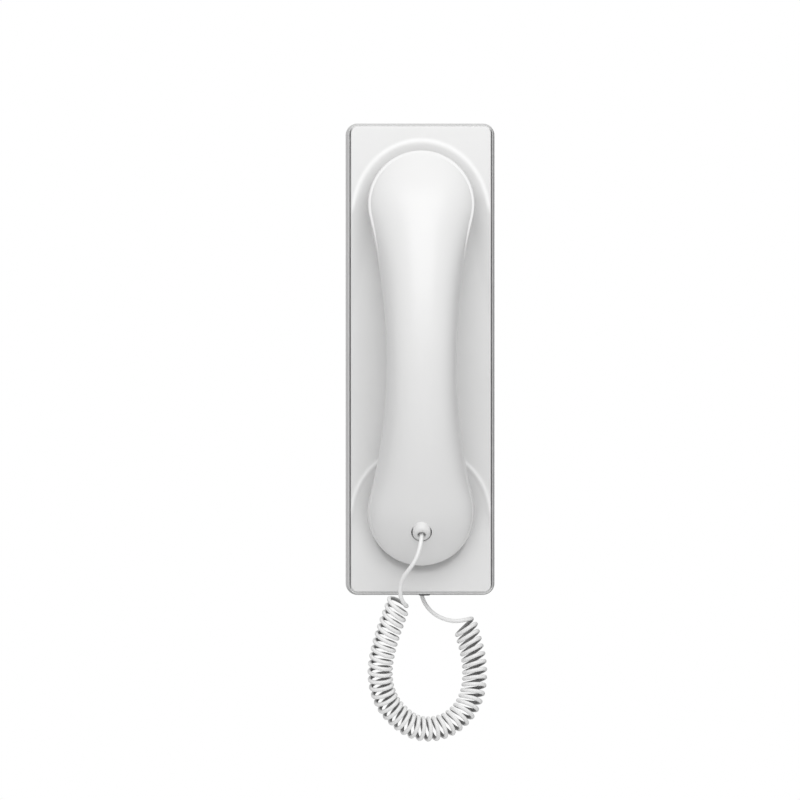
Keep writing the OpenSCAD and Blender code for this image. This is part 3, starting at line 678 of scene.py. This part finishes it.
def cradle_drop(x, z):
    """The trough with the dish in it, which has a beaded rim above and fades softly below."""
    trough = trough_drop(x, z)
    r = math.hypot(x, z - DISH_Z)
    inside = DISH_R - r
    bead = DISH_BEAD * math.exp(-inside ** 2)
    if abs(inside) < DISH_CREASE:
        inside = (inside + DISH_CREASE) ** 2 / (4 * DISH_CREASE)
    inside = max(0.0, inside)
    upper = min(DISH_DEPTH, trough + DISH_SLOPE * inside + DISH_BEND * inside ** 2)
    lower = max(trough, DISH_DEPTH * (1 - smooth((r - SOFT_R) / SOFT_RUN)))
    low = smooth((DISH_Z + SOFT_ABOVE - z) / SOFT_FADE)
    return (upper - bead) * (1 - low) + lower * low


def front_depth(x, z):
    return BASE_D - cradle_drop(x, z)


def side_inset(depth):
    """The sides lean in a little towards the front, as a moulding's sides do."""
    return -SIDE_OUT + (SIDE_OUT + SIDE_IN) * depth / EDGE_D


def groove(drop, z):
    """The line round the panel is deep along the sides and shallow along the two ends."""
    if drop <= GROOVE_TOP:
        return drop
    at_side = smooth((BASE_H / 2 - GROOVE_END - abs(z)) / GROOVE_FADE)
    return GROOVE_TOP + (drop - GROOVE_TOP) * (END_GROOVE + (SIDE_GROOVE - END_GROOVE) * at_side)


def outline(inset, sides, ends, arc):
    """Points round the base's outline, moved in by the inset."""
    a, b = BASE_W / 2 - inset, BASE_H / 2 - inset
    c = min(max(CORNER_R - inset, LEAST_CORNER_R), a)
    points = []
    for sx, sz, turn in ((1, 1, 0), (-1, 1, 90), (-1, -1, 180), (1, -1, 270)):
        for i in range(arc):
            t = math.radians(turn + 90 * i / arc)
            points.append((sx * (a - c) + c * math.cos(t), sz * (b - c) + c * math.sin(t)))
        if turn in (0, 180):
            start, step, count = (a - c) * sx, -2 * (a - c) * sx, ends
            points += [(start + step * i / count, sz * b) for i in range(count)]
        else:
            start, step, count = (b - c) * sz, -2 * (b - c) * sz, sides
            points += [(sx * a, start + step * i / count) for i in range(count)]
    return points


def base_skin():
    """The shell's closed skin: its hollow, its edge at the seam, its sides, its front edge and its panel."""
    seam = side_inset(SEAM_D)
    side_rows = [(HOLLOW_INSET, SEAM_GAP), (seam + 0.55, SEAM_GAP), (seam + 0.2, 0.25), (seam, 0.6),
                 (side_inset(SEAM_D + 9), 9)]
    panel_run = BASE_W / 2 - PANEL_INSET
    panel_rows = [(PANEL_INSET + panel_run * i / PANEL_ROWS, 0.0) for i in range(PANEL_ROWS + 1)]
    loops = []
    for inset in HOLLOW_ROWS:
        loops.append([spot(x, front_depth(x, z) - BASE_WALL, z) for x, z in outline(inset, *SHELL_GRID)])
    for inset, ahead in side_rows:
        loops.append([spot(x, SEAM_D + ahead, z) for x, z in outline(inset, *SHELL_GRID)])
    for inset, drop in EDGE + panel_rows:
        loops.append([spot(x, front_depth(x, z) - groove(drop, z), z)
                      for x, z in outline(inset, *SHELL_GRID)])
    return loft("base_front_shell", loops)


def paint_rim_highlights(shell):
    """Marks the rims of the recess and the dish with a painted highlight, brighter than the panel."""
    painted_highlights = shell.data.attributes.new("rim", "FLOAT", "POINT")
    for vertex in shell.data.vertices:
        x, z = vertex.co.x / MM, vertex.co.z / MM
        recess = math.hypot(x, (z - RECESS_Z) / RECESS_TALL) - BAND_MIDDLE
        high = (1 - smooth(abs(recess) / BAND_HALF)) * smooth((z - RECESS_Z) / BAND_FADE)
        dish = math.hypot(x, z - DISH_Z) - DISH_R
        low = (1 - smooth(abs(dish) / DISH_BAND_HALF)) * smooth((z - DISH_Z + DISH_BAND_BELOW) / DISH_BAND_FADE)
        front = vertex.co.y < -FACE_FROM * MM
        painted_highlights.data[vertex.index].value = max(high, low) if front else 0.0


def add_base_shell():
    shell = base_skin()
    tidy(shell)
    slot_left, slot_right = (
        drill(BUSH_SLOT_R, BUSH_SLOT_CUT, spot(BUSH_X + s * BUSH_HALF, BUSH_D, BASE_LOW), UP) for s in (-1, 1))
    combine(shell, [
        drill(PLUNGER_HOLE_R, FRONT_CUT, spot(0, PLUNGER_HOLE_D, PLUNGER_Z), FRONT, PLUNGER_HOLE_SIDES),
        drill(BUTTON_HOLE_R, FRONT_CUT, spot(0, BUTTON_HOLE_D, BUTTON_Z), FRONT, BUTTON_HOLE_SIDES),
        drill(LOCK_HEAD_R, LOCK_HEAD_CUT, spot(LOCK_X, LOCK_D, BASE_LOW), UP),
        slot_left,
    ], "DIFFERENCE")
    combine(shell, [
        drill(LOCK_SHANK_R, LOCK_SHANK_CUT, spot(LOCK_X, LOCK_D, BASE_LOW + LOCK_SHANK_UP), UP),
        slot_right,
    ], "DIFFERENCE")
    tidy(shell)
    # Paints a highlight on the rims
    paint_rim_highlights(shell)
    finish(shell, "shell_white", "base", "base_shell")


# Boss that the earpiece hangs on

BOSS_FOOT = [(0, 16.5), (BOSS_R + 1.2, 16.5), (BOSS_R + 1.2, 20.75), (BOSS_R + 0.5, 21.0), (BOSS_R, 21.6)]
BOSS_EDGE_R = 1
BOSS_RING_R, BOSS_CUT = 5, 6


def add_boss():
    profile = BOSS_FOOT + rounded(BOSS_R - BOSS_EDGE_R, BOSS_TOP - BOSS_EDGE_R, BOSS_EDGE_R, 0, 90)
    profile += [(0, BOSS_TOP)]
    boss = turned("earpiece_boss", profile, spot(0, 0, BOSS_Z), FRONT)
    combine(boss, sound_holes(BOSS_TOP, BOSS_Z, BOSS_RING_R, BOSS_CUT), "DIFFERENCE")
    tidy(boss)
    finish(boss, "shell_white", "base")


# Base rear cover: a tray with rounded back edges

COVER_GRID = (12, 4, 10)
COVER_FLOOR = 2.2
COVER_CUT = 8
WALL_HOLE_R, WALL_HOLE_Z = 2.25, 92
CABLE_HOLE_R, CABLE_HOLE_Z, CABLE_HOLE_SIDES = 8, 52, 64


def add_rear_cover():
    top, seam = SEAM_D - SEAM_GAP, side_inset(SEAM_D)
    # How far in from the side, and how far in front of the wall: inside, rim, outside, back
    rows = [(BASE_W / 2, COVER_FLOOR), (BASE_WALL + 1, COVER_FLOOR), (BASE_WALL + 0.3, COVER_FLOOR + 0.3)]
    rows += [(BASE_WALL, COVER_FLOOR + 1), (BASE_WALL, top)]
    rows += [(seam + 0.5, top), (seam + 0.15, top - 0.15), (seam, top - 0.5)]
    rows += [(side_inset(1.2), 1.2), (side_inset(0.5) + 0.15, 0.5), (side_inset(0) + 0.5, 0.15)]
    rows += [(side_inset(0) + 1.1, 0.0), (BASE_W / 2, 0.0)]
    loops = [[spot(x, depth, z) for x, z in outline(inset, *COVER_GRID)] for inset, depth in rows]
    cover = loft("rear_tray", loops)
    holes = [drill(WALL_HOLE_R, COVER_CUT, spot(0, 1, s * WALL_HOLE_Z), FRONT) for s in (-1, 1)]
    holes.append(drill(CABLE_HOLE_R, COVER_CUT, spot(0, 1, CABLE_HOLE_Z), FRONT, CABLE_HOLE_SIDES))
    combine(cover, holes, "DIFFERENCE")
    tidy(cover)
    finish(cover, "cover_white", "base", "rear_cover")


# Handset shells

SPLIT_GAP = 0.1
# The shells' edges at the split: the lip's radius, also as a share of what is there, and its steps
EDGE_ROUND = 0.6
EDGE_SHARE = 0.1
EDGE_LEAST = 0.01
LIP_STEPS = 4
# The shallow cap over the top end, and the flange of the back shell round it
CAP_FROM, CAP_RUN = 42, 24
CAP_WALL = 0.4
CAP_BEND = 0.85
CAP_START = 0.03
TOP_FLANGE = 1.3
# The back shell's section: the share of it up to the widest line, the lean there, and how round its back is
SIDE_SHARE = 0.25
SIDE_LEAN = 0.012
BACK_SQUARED = 2 / 3
# Sections: angles round the ends, with more at the tips, and steps along the grip
TIP_ANGLES = (89.5, 88.8, 87.5)
END_ANGLE, END_STEPS = 85, 20
GRIP_STEPS = 64
# Points of half a section, worked out finely and then spaced evenly
SKIN_FINE, SKIN_POINTS = 240, 40
INSIDE_FINE, INSIDE_POINTS = 120, 18


def capped(z):
    """How far the top end's shallow cap has taken over from the plain round section."""
    return smooth((z - CAP_FROM) / CAP_RUN)


def flange(z):
    """How far the back shell stands out past the front shell."""
    return TOP_FLANGE * capped(z)


def split_angle(z):
    """Angle of the split between the shells, seen from the widest line."""
    return math.asin(SPLIT_SHARE - (SPLIT_SHARE - WAIST_SHARE) * arch(z))


def front_point(z, t, u):
    """A point of the front shell's section, from the split at 0 to the middle at 1."""
    inset = flange(z) + t
    w, rise = half_width(z, inset), crown(z, t)
    level = math.sqrt(1 - past_end(z, inset) ** 2)
    a = split_angle(z) + u * (math.pi / 2 - split_angle(z))
    plain = (w * math.cos(a) ** SQUARED, rise * level * math.sin(a) ** SQUARED)
    b = CAP_START + u * (math.pi / 2 - CAP_START)
    out = 1 - (level * math.sin(b)) ** 2
    edge = math.sqrt(1 - CAP_BEND ** 2)
    dome = (math.sqrt(1 - CAP_BEND ** 2 * out) - edge) / (1 - edge)
    cap = (w * math.cos(b), rise * (CAP_WALL + (1 - CAP_WALL) * dome))
    x, d = mix(plain, cap, capped(z))
    return x, widest(z) + d


def back_point(z, t, u):
    """A point of the back shell's section, from the split at 0 to the middle at 1."""
    w, p = half_width(z, t), widest(z)
    v = 1 - u / SIDE_SHARE
    if v > 0:
        a = split_angle(z) * v
        level = math.sqrt(1 - past_end(z, t) ** 2)
        plain = (w * math.cos(a) ** SQUARED, crown(z, t) * level * math.sin(a) ** SQUARED)
        wall = (w * (1 - SIDE_LEAN * v * v), crown(z, 0) * CAP_WALL * v)
        x, d = mix(plain, wall, capped(z))
        return x, p + d
    a = math.pi / 2 * (u - SIDE_SHARE) / (1 - SIDE_SHARE)
    return w * math.cos(a) ** BACK_SQUARED, p - back_height(z, t) * math.sin(a) ** BACK_SQUARED


def station_pairs(front):
    """Heights of the sections' outsides and of their insides."""
    top_r = END_R - (TOP_FLANGE if front else 0)
    ends = [math.radians(a) for a in TIP_ANGLES]
    ends += [math.radians(END_ANGLE * i / END_STEPS) for i in range(END_STEPS, 0, -1)]
    pairs = [(LOW_Z - END_R * math.sin(a), LOW_Z - (END_R - HANDSET_WALL) * math.sin(a)) for a in ends]
    pairs += [(LOW_Z + 2 * HALF_SPAN * i / GRIP_STEPS,) * 2 for i in range(GRIP_STEPS + 1)]
    pairs += [(TOP_Z + top_r * math.sin(a), TOP_Z + (top_r - HANDSET_WALL) * math.sin(a))
              for a in reversed(ends)]
    return pairs


def evenly(points, count, skip=0.0):
    """The same line of points with even spaces, from a length past its start."""
    lengths = running(points, math.dist)
    result, k = [], 0
    for i in range(count):
        s = skip + (lengths[-1] - skip) * i / (count - 1)
        while k < len(points) - 2 and lengths[k + 1] < s:
            k += 1
        span = lengths[k + 1] - lengths[k]
        t = min(1.0, (s - lengths[k]) / span) if span > 0 else 0.0
        result.append(mix(points[k], points[k + 1], t))
    return result


def lip(skin, radius):
    """The rounded lip before the skin's first point, from the inside to that point."""
    (x, d), (x2, d2) = skin[0], skin[1]
    size = math.dist(skin[0], skin[1])
    tx, td = (x - x2) / size, (d - d2) / size
    nx, nd = (td, -tx) if td < 0 else (-td, tx)
    points = []
    for i in range(LIP_STEPS, 0, -1):
        b = math.radians(90 * i / LIP_STEPS)
        points.append((x + tx * radius * math.sin(b) + nx * radius * (1 - math.cos(b)),
                       d + td * radius * math.sin(b) + nd * radius * (1 - math.cos(b))))
    return points


def mirrored(points):
    return [(-x, d) for x, d in reversed(points)]


def shell_ring(z, z_in, front):
    """A closed section of a shell: its right lip, its skin, its left lip and its inside."""
    point = front_point if front else back_point
    line = [point(z, 0, i / SKIN_FINE) for i in range(SKIN_FINE + 1)]
    radius = min(EDGE_ROUND, EDGE_SHARE * half_width(z, flange(z)), EDGE_SHARE * (line[0][0] + EDGE_LEAST))
    gap = min(SPLIT_GAP, radius / 3)
    skin = evenly(line, SKIN_POINTS, gap + radius)
    half = lip(skin, radius) + skin[:-1]
    ring = [spot(x, d, z) for x, d in half + [skin[-1]] + mirrored(half)]
    inside = evenly([point(z_in, HANDSET_WALL, i / INSIDE_FINE) for i in range(INSIDE_FINE + 1)], INSIDE_POINTS)
    right = inside[-2::-1]
    return ring + [spot(x, d, z_in) for x, d in mirrored(right) + [inside[-1]] + right]


def handset_skin(name, front):
    rings = [shell_ring(z, z_in, front) for z, z_in in station_pairs(front)]
    low, top = ([Vector((0, place.y, place.z)) for place in ring] for ring in (rings[0], rings[-1]))
    return loft(name, [low] + rings + [top])


# The nose of the gland, at the lower end of the front shell, and the pocket that it sits in
NOSE_TILT = math.radians(43)
nose_axis = Vector((0, -math.cos(NOSE_TILT), -math.sin(NOSE_TILT)))
nose_up = Vector((0, -math.sin(NOSE_TILT), math.cos(NOSE_TILT)))
nose_mouth = spot(0, 47.4, -81.6)
POCKET_R, POCKET_CUT, POCKET_SIDES = 4.8, 9, 64
POCKET_BACK, POCKET_DOWN = 3, 0.6


def add_outer_shell():
    shell = handset_skin("handset_front_shell", True)
    tidy(shell)
    pocket = nose_mouth - nose_axis * (POCKET_BACK * MM) - nose_up * (POCKET_DOWN * MM)
    combine(shell, [drill(POCKET_R, POCKET_CUT, pocket, nose_axis, POCKET_SIDES)], "DIFFERENCE")
    tidy(shell)
    finish(shell, "shell_white", "handset", "handset_outer_shell")


# Pads on the back shell: a ring for the ear and a low cone for the mouth, both rooted in the shell
PAD_ROOT = 26.6
EAR_IN_R, EAR_OUT_R = 13.5, 17.5
EAR_IN_EDGE, EAR_IN_BEND = 0.6, (0.4, 0.8, 1.2, 1.57)
EAR_EDGE = 1.0
EAR_FOOT = [(17.5, 24.6), (17.7, 25.2), (18.3, 25.6), (18.3, PAD_ROOT)]
EAR_RING_R = 5
MOUTH_FLAT_R, MOUTH_OUT_R = 12, 17
MOUTH_EDGE, MOUTH_EDGE_END = 1.6, -6
MOUTH_FOOT = [(17.9, 24.4), (18.3, 25.2), (19, 25.7), (19, PAD_ROOT)]
MOUTH_RING_R = 2.5
PAD_CUT = 5
# Wells for the two case screws
WELL_R, WELL_CUT, WELL_DEPTH = 2.5, 6, 1.0
WELL_HEIGHTS = [HANDSET_Z + s * HALF_SPAN / 2 for s in (-1, 1)]


def well_floor(z):
    return widest(z) - BACK_DROP + WELL_DEPTH


def ear_pad():
    profile = [(EAR_IN_R, PAD_ROOT), (EAR_IN_R, EAR_FACE + EAR_IN_EDGE)]
    profile += [(EAR_IN_R + EAR_IN_EDGE - EAR_IN_EDGE * math.cos(a),
                 EAR_FACE + EAR_IN_EDGE - EAR_IN_EDGE * math.sin(a)) for a in EAR_IN_BEND]
    profile += rounded(EAR_OUT_R - EAR_EDGE, EAR_FACE + EAR_EDGE, EAR_EDGE, -90, 0)
    profile += EAR_FOOT + [(EAR_IN_R, PAD_ROOT)]
    return turned("ear_pad", profile, spot(0, 0, TOP_Z), FRONT)


def mouth_pad():
    profile = [(0, MOUTH_FACE), (MOUTH_FLAT_R, MOUTH_FACE)]
    profile += rounded(MOUTH_OUT_R - MOUTH_EDGE, MOUTH_FACE + MOUTH_EDGE, MOUTH_EDGE, -90, MOUTH_EDGE_END)
    profile += MOUTH_FOOT + [(0, PAD_ROOT)]
    return turned("mouth_pad", profile, spot(0, 0, LOW_Z), FRONT)


def add_inner_shell():
    shell = handset_skin("handset_back_shell", False)
    tidy(shell)
    for pad in (ear_pad(), mouth_pad()):
        combine(shell, [pad], "UNION")
    cutters = sound_holes(BACK_END, TOP_Z, EAR_RING_R, PAD_CUT)
    cutters += sound_holes(MOUTH_FACE, LOW_Z, MOUTH_RING_R, PAD_CUT)
    cutters += [drill(WELL_R, WELL_CUT, spot(0, well_floor(z) - WELL_CUT / 2, z), FRONT) for z in WELL_HEIGHTS]
    combine(shell, cutters, "DIFFERENCE")
    tidy(shell)
    finish(shell, "shell_white", "handset", "handset_inner_shell")


# Case screws: low heads with a crossed slot

SCREW_HEAD, SCREW_HEAD_R, SCREW_FLAT_R = 0.55, 2.2, 1.5
SCREW_SHANK, SCREW_SHANK_R = 6, 1.1
SCREW_STEPS = 48
CROSS_R, CROSS_CUT, CROSS_SIDES = 0.3, 2.4, 12


def add_case_screws():
    screws = []
    for z in WELL_HEIGHTS:
        seat = well_floor(z)
        top = seat - SCREW_HEAD
        profile = [(0, top), (SCREW_FLAT_R, top), (1.9, top + 0.12), (SCREW_HEAD_R, top + 0.35)]
        profile += [(SCREW_HEAD_R, seat), (SCREW_SHANK_R, seat)]
        profile += [(SCREW_SHANK_R, seat + SCREW_SHANK), (0, seat + SCREW_SHANK)]
        screw = turned("case_screw", profile, spot(0, 0, z), FRONT, SCREW_STEPS)
        for way in (UP, ACROSS):
            combine(screw, [drill(CROSS_R, CROSS_CUT, spot(0, top, z), way, CROSS_SIDES)], "DIFFERENCE")
        tidy(screw)
        screws.append(screw)
    combine(screws[0], screws[1:], "UNION")
    finish(screws[0], "screw_steel", "handset", "handset_screws")


# Gland: a nose with a rounded mouth that holds the cord's end. Its upper side runs out into the shell.

NOSE_R, NOSE_ROUND, NOSE_LONG = 4.2, 1.7, 8
NOSE_ROWS, NOSE_STEP = 13, 0.45
NOSE_MOUTH = [(2.2, -0.06), (2.0, -0.3), (1.92, -0.8), (1.92, -2.5), (0, -2.5)]
FLARE, FLARE_FROM = 0.28, 1.2


def add_gland():
    profile = [(0, -NOSE_LONG), (NOSE_R, -NOSE_LONG)]
    profile += [(NOSE_R, -NOSE_ROUND - NOSE_STEP * i) for i in range(NOSE_ROWS, 0, -1)]
    profile += rounded(NOSE_R - NOSE_ROUND, -NOSE_ROUND, NOSE_ROUND, 0, 90, 7) + NOSE_MOUTH
    nose = turned("cord_nose", profile, nose_mouth, nose_axis)
    for vertex in nose.data.vertices:
        from_mouth = vertex.co - nose_mouth
        back, up = -from_mouth.dot(nose_axis) / MM - FLARE_FROM, from_mouth.dot(nose_up) / MM
        if back > 0 and up > 0:
            vertex.co += nose_up * (FLARE * back * (up / NOSE_R) * MM)
    finish(nose, "gland_white", "handset", "cord_gland")


# Strain relief: the lip of the rubber bush in the base's bottom edge

BUSH_R = 1.7
# How far in from the bush's side, and how high
BUSH_ROWS = [(BUSH_R, -110.6), (0.4, -110.6), (0.1, -110.52), (0.0, -110.3), (0.0, -108.6), (BUSH_R, -108.6)]
BUSH_POINTS = 48
BUSH_BORE_X, BUSH_BORE_R, BUSH_BORE_CUT, BUSH_BORE_SIDES = 0.5, 0.95, 8, 24


def add_bush_lip():
    loops = []
    for inset, z in BUSH_ROWS:
        r = BUSH_R - inset
        loop = []
        for i in range(BUSH_POINTS):
            a = math.tau * i / BUSH_POINTS
            half = BUSH_HALF if math.cos(a) >= 0 else -BUSH_HALF
            loop.append(spot(BUSH_X + half + r * math.cos(a), BUSH_D + r * math.sin(a), z))
        loops.append(loop)
    rubber = loft("bush_lip", loops)
    bore = drill(BUSH_BORE_R, BUSH_BORE_CUT, spot(BUSH_BORE_X, BUSH_D, BASE_LOW), UP, BUSH_BORE_SIDES)
    combine(rubber, [bore], "DIFFERENCE")
    tidy(rubber)
    finish(rubber, "bush_rubber", "base")


# Sliding pieces: a stem, a collar behind the panel and a head, in rows of radius and depth

PLUNGER_R, PLUNGER_EDGE = 4, 0.8
PLUNGER_STEM = [(0, 8.0), (1.6, 8.0), (1.6, 10.6), (5.6, 10.6), (5.6, 11.8), (PLUNGER_R, 11.8)]
BUTTON_R, BUTTON_EDGE = 6.5, 0.9
BUTTON_OUT = 1.5
BUTTON_STEM = [(0, 10), (1.6, 10), (1.6, 17.1), (8.1, 17.1), (8.1, 18.3), (BUTTON_R, 18.3)]
# The finger hollow in the button's face: radius, and depth below the edge
BUTTON_HOLLOW = [(4.0, 0.12), (2.0, 0.28), (0, 0.32)]


def add_plunger():
    tip = BASE_D - DISH_DEPTH
    profile = PLUNGER_STEM + rounded(PLUNGER_R - PLUNGER_EDGE, tip - PLUNGER_EDGE, PLUNGER_EDGE, 0, 90)
    plunger = turned("hook_pin", profile + [(0, tip)], spot(0, 0, PLUNGER_Z), FRONT)
    finish(plunger, "plunger_white", "hook", "hook_plunger")


def add_button():
    top = BASE_D - TROUGH_DEPTH + BUTTON_OUT
    profile = BUTTON_STEM + rounded(BUTTON_R - BUTTON_EDGE, top - BUTTON_EDGE, BUTTON_EDGE, 0, 90)
    profile += [(r, top - sunk) for r, sunk in BUTTON_HOLLOW]
    button = turned("door_button", profile, spot(0, 0, BUTTON_Z), FRONT)
    finish(button, "button_grey", "button", "release_button")


def dress_solids():
    """Gives each solid that still shows the material of its slot."""
    slots = {part["node"]: part["material_slot"] for part in frame["record"]["subparts"]}
    for name, solid in frame["nodes"].items():
        coat(solid, slots[name])


# Light, background and floor, in metres

KEY_SPOT, KEY_AIM = Vector((0.02, -0.5, 0.33)), Vector((0, -0.05, 0.02))
KEY_W, KEY_H, KEY_WATTS = 0.55, 0.45, 1.52
# The dome's light: the range of a direction, and the light's level at that range's two ends
AHEAD = (0.3, -0.35), (0.05, 0.54)
UPWARDS = (-1, 1), (0.8, 1.15)
SIDEWAYS = (0.1, 0.9), (1, 1.4)
BEHIND = (0.2, 0.6), (0, 0.5)
UPPER_LEFT = (0.02, 0.2), (0, 1)
OVERHEAD = (0.5, 0.95), (0, 0.4)
WHITE = (1, 1, 1, 1)
FLOOR_W, FLOOR_SPOT = 1.4, (0, -0.55, -0.28)


def add_key_lamp():
    bpy.ops.object.select_all(action="DESELECT")
    bpy.ops.object.light_add(type="AREA", location=KEY_SPOT)
    lamp = bpy.context.object
    lamp.name = "key"
    lamp.data.energy = KEY_WATTS
    lamp.data.shape = "RECTANGLE"
    lamp.data.size, lamp.data.size_y = KEY_W, KEY_H
    lamp.rotation_euler = (KEY_AIM - KEY_SPOT).to_track_quat("-Z", "Y").to_euler()


def add_dome():
    """A soft white dome, brightest in front of the object, with some light from behind at the upper left."""
    world = bpy.data.worlds.new("studio")
    bpy.context.scene.world = world
    world.use_nodes = True
    nodes, links = world.node_tree.nodes, world.node_tree.links

    def graded(value, reach, levels, kind="SMOOTHSTEP"):
        """A level of light that goes with a value's place in its range."""
        node = nodes.new("ShaderNodeMapRange")
        node.interpolation_type = kind
        links.new(value, node.inputs["Value"])
        for socket, number in zip(("From Min", "From Max", "To Min", "To Max"), (*reach, *levels)):
            node.inputs[socket].default_value = number
        return node.outputs["Result"]

    def worked(kind, a, b):
        """Two values added, subtracted or multiplied."""
        node = nodes.new("ShaderNodeMath")
        node.operation = kind
        links.new(a, node.inputs[0])
        links.new(b, node.inputs[1])
        return node.outputs["Value"]

    way = nodes.new("ShaderNodeTexCoord")
    parts = nodes.new("ShaderNodeSeparateXYZ")
    links.new(way.outputs["Generated"], parts.inputs["Vector"])
    x, y, z = (parts.outputs[axis] for axis in "XYZ")
    ahead = worked("MULTIPLY", graded(y, *AHEAD), graded(z, *UPWARDS, "LINEAR"))
    ahead = worked("MULTIPLY", ahead, graded(worked("MULTIPLY", x, x), *SIDEWAYS))
    upper_left = graded(worked("SUBTRACT", z, x), *UPPER_LEFT)
    behind = worked("MULTIPLY", graded(y, *BEHIND), upper_left)
    level = worked("ADD", worked("ADD", ahead, behind), graded(z, *OVERHEAD))
    dome = nodes["Background"]
    dome.inputs["Color"].default_value = WHITE
    links.new(level, dome.inputs["Strength"])

    # What the camera sees behind the object is plain white
    seen = nodes.new("ShaderNodeBackground")
    seen.inputs["Color"].default_value = WHITE
    seen.inputs["Strength"].default_value = 1
    path = nodes.new("ShaderNodeLightPath")
    choose = nodes.new("ShaderNodeMixShader")
    links.new(path.outputs["Is Camera Ray"], choose.inputs["Fac"])
    links.new(dome.outputs["Background"], choose.inputs[1])
    links.new(seen.outputs["Background"], choose.inputs[2])
    links.new(choose.outputs["Shader"], nodes["World Output"].inputs["Surface"])


def add_floor():
    bpy.ops.object.select_all(action="DESELECT")
    bpy.ops.mesh.primitive_plane_add(size=FLOOR_W, location=FLOOR_SPOT)
    floor = bpy.context.object
    floor.name = "floor"
    floor.data.materials.append(plastic("floor_paper", (0.86, 0.86, 0.86), 0.8, grain=0.02, mottle=0.01))


add_camera()
add_cord()
add_base_shell()
add_boss()
add_rear_cover()
add_outer_shell()
add_inner_shell()
add_case_screws()
add_gland()
add_bush_lip()
add_plunger()
add_button()
dress_solids()
add_key_lamp()
add_dome()
add_floor()
bpy.context.scene.view_settings.view_transform = "Standard"
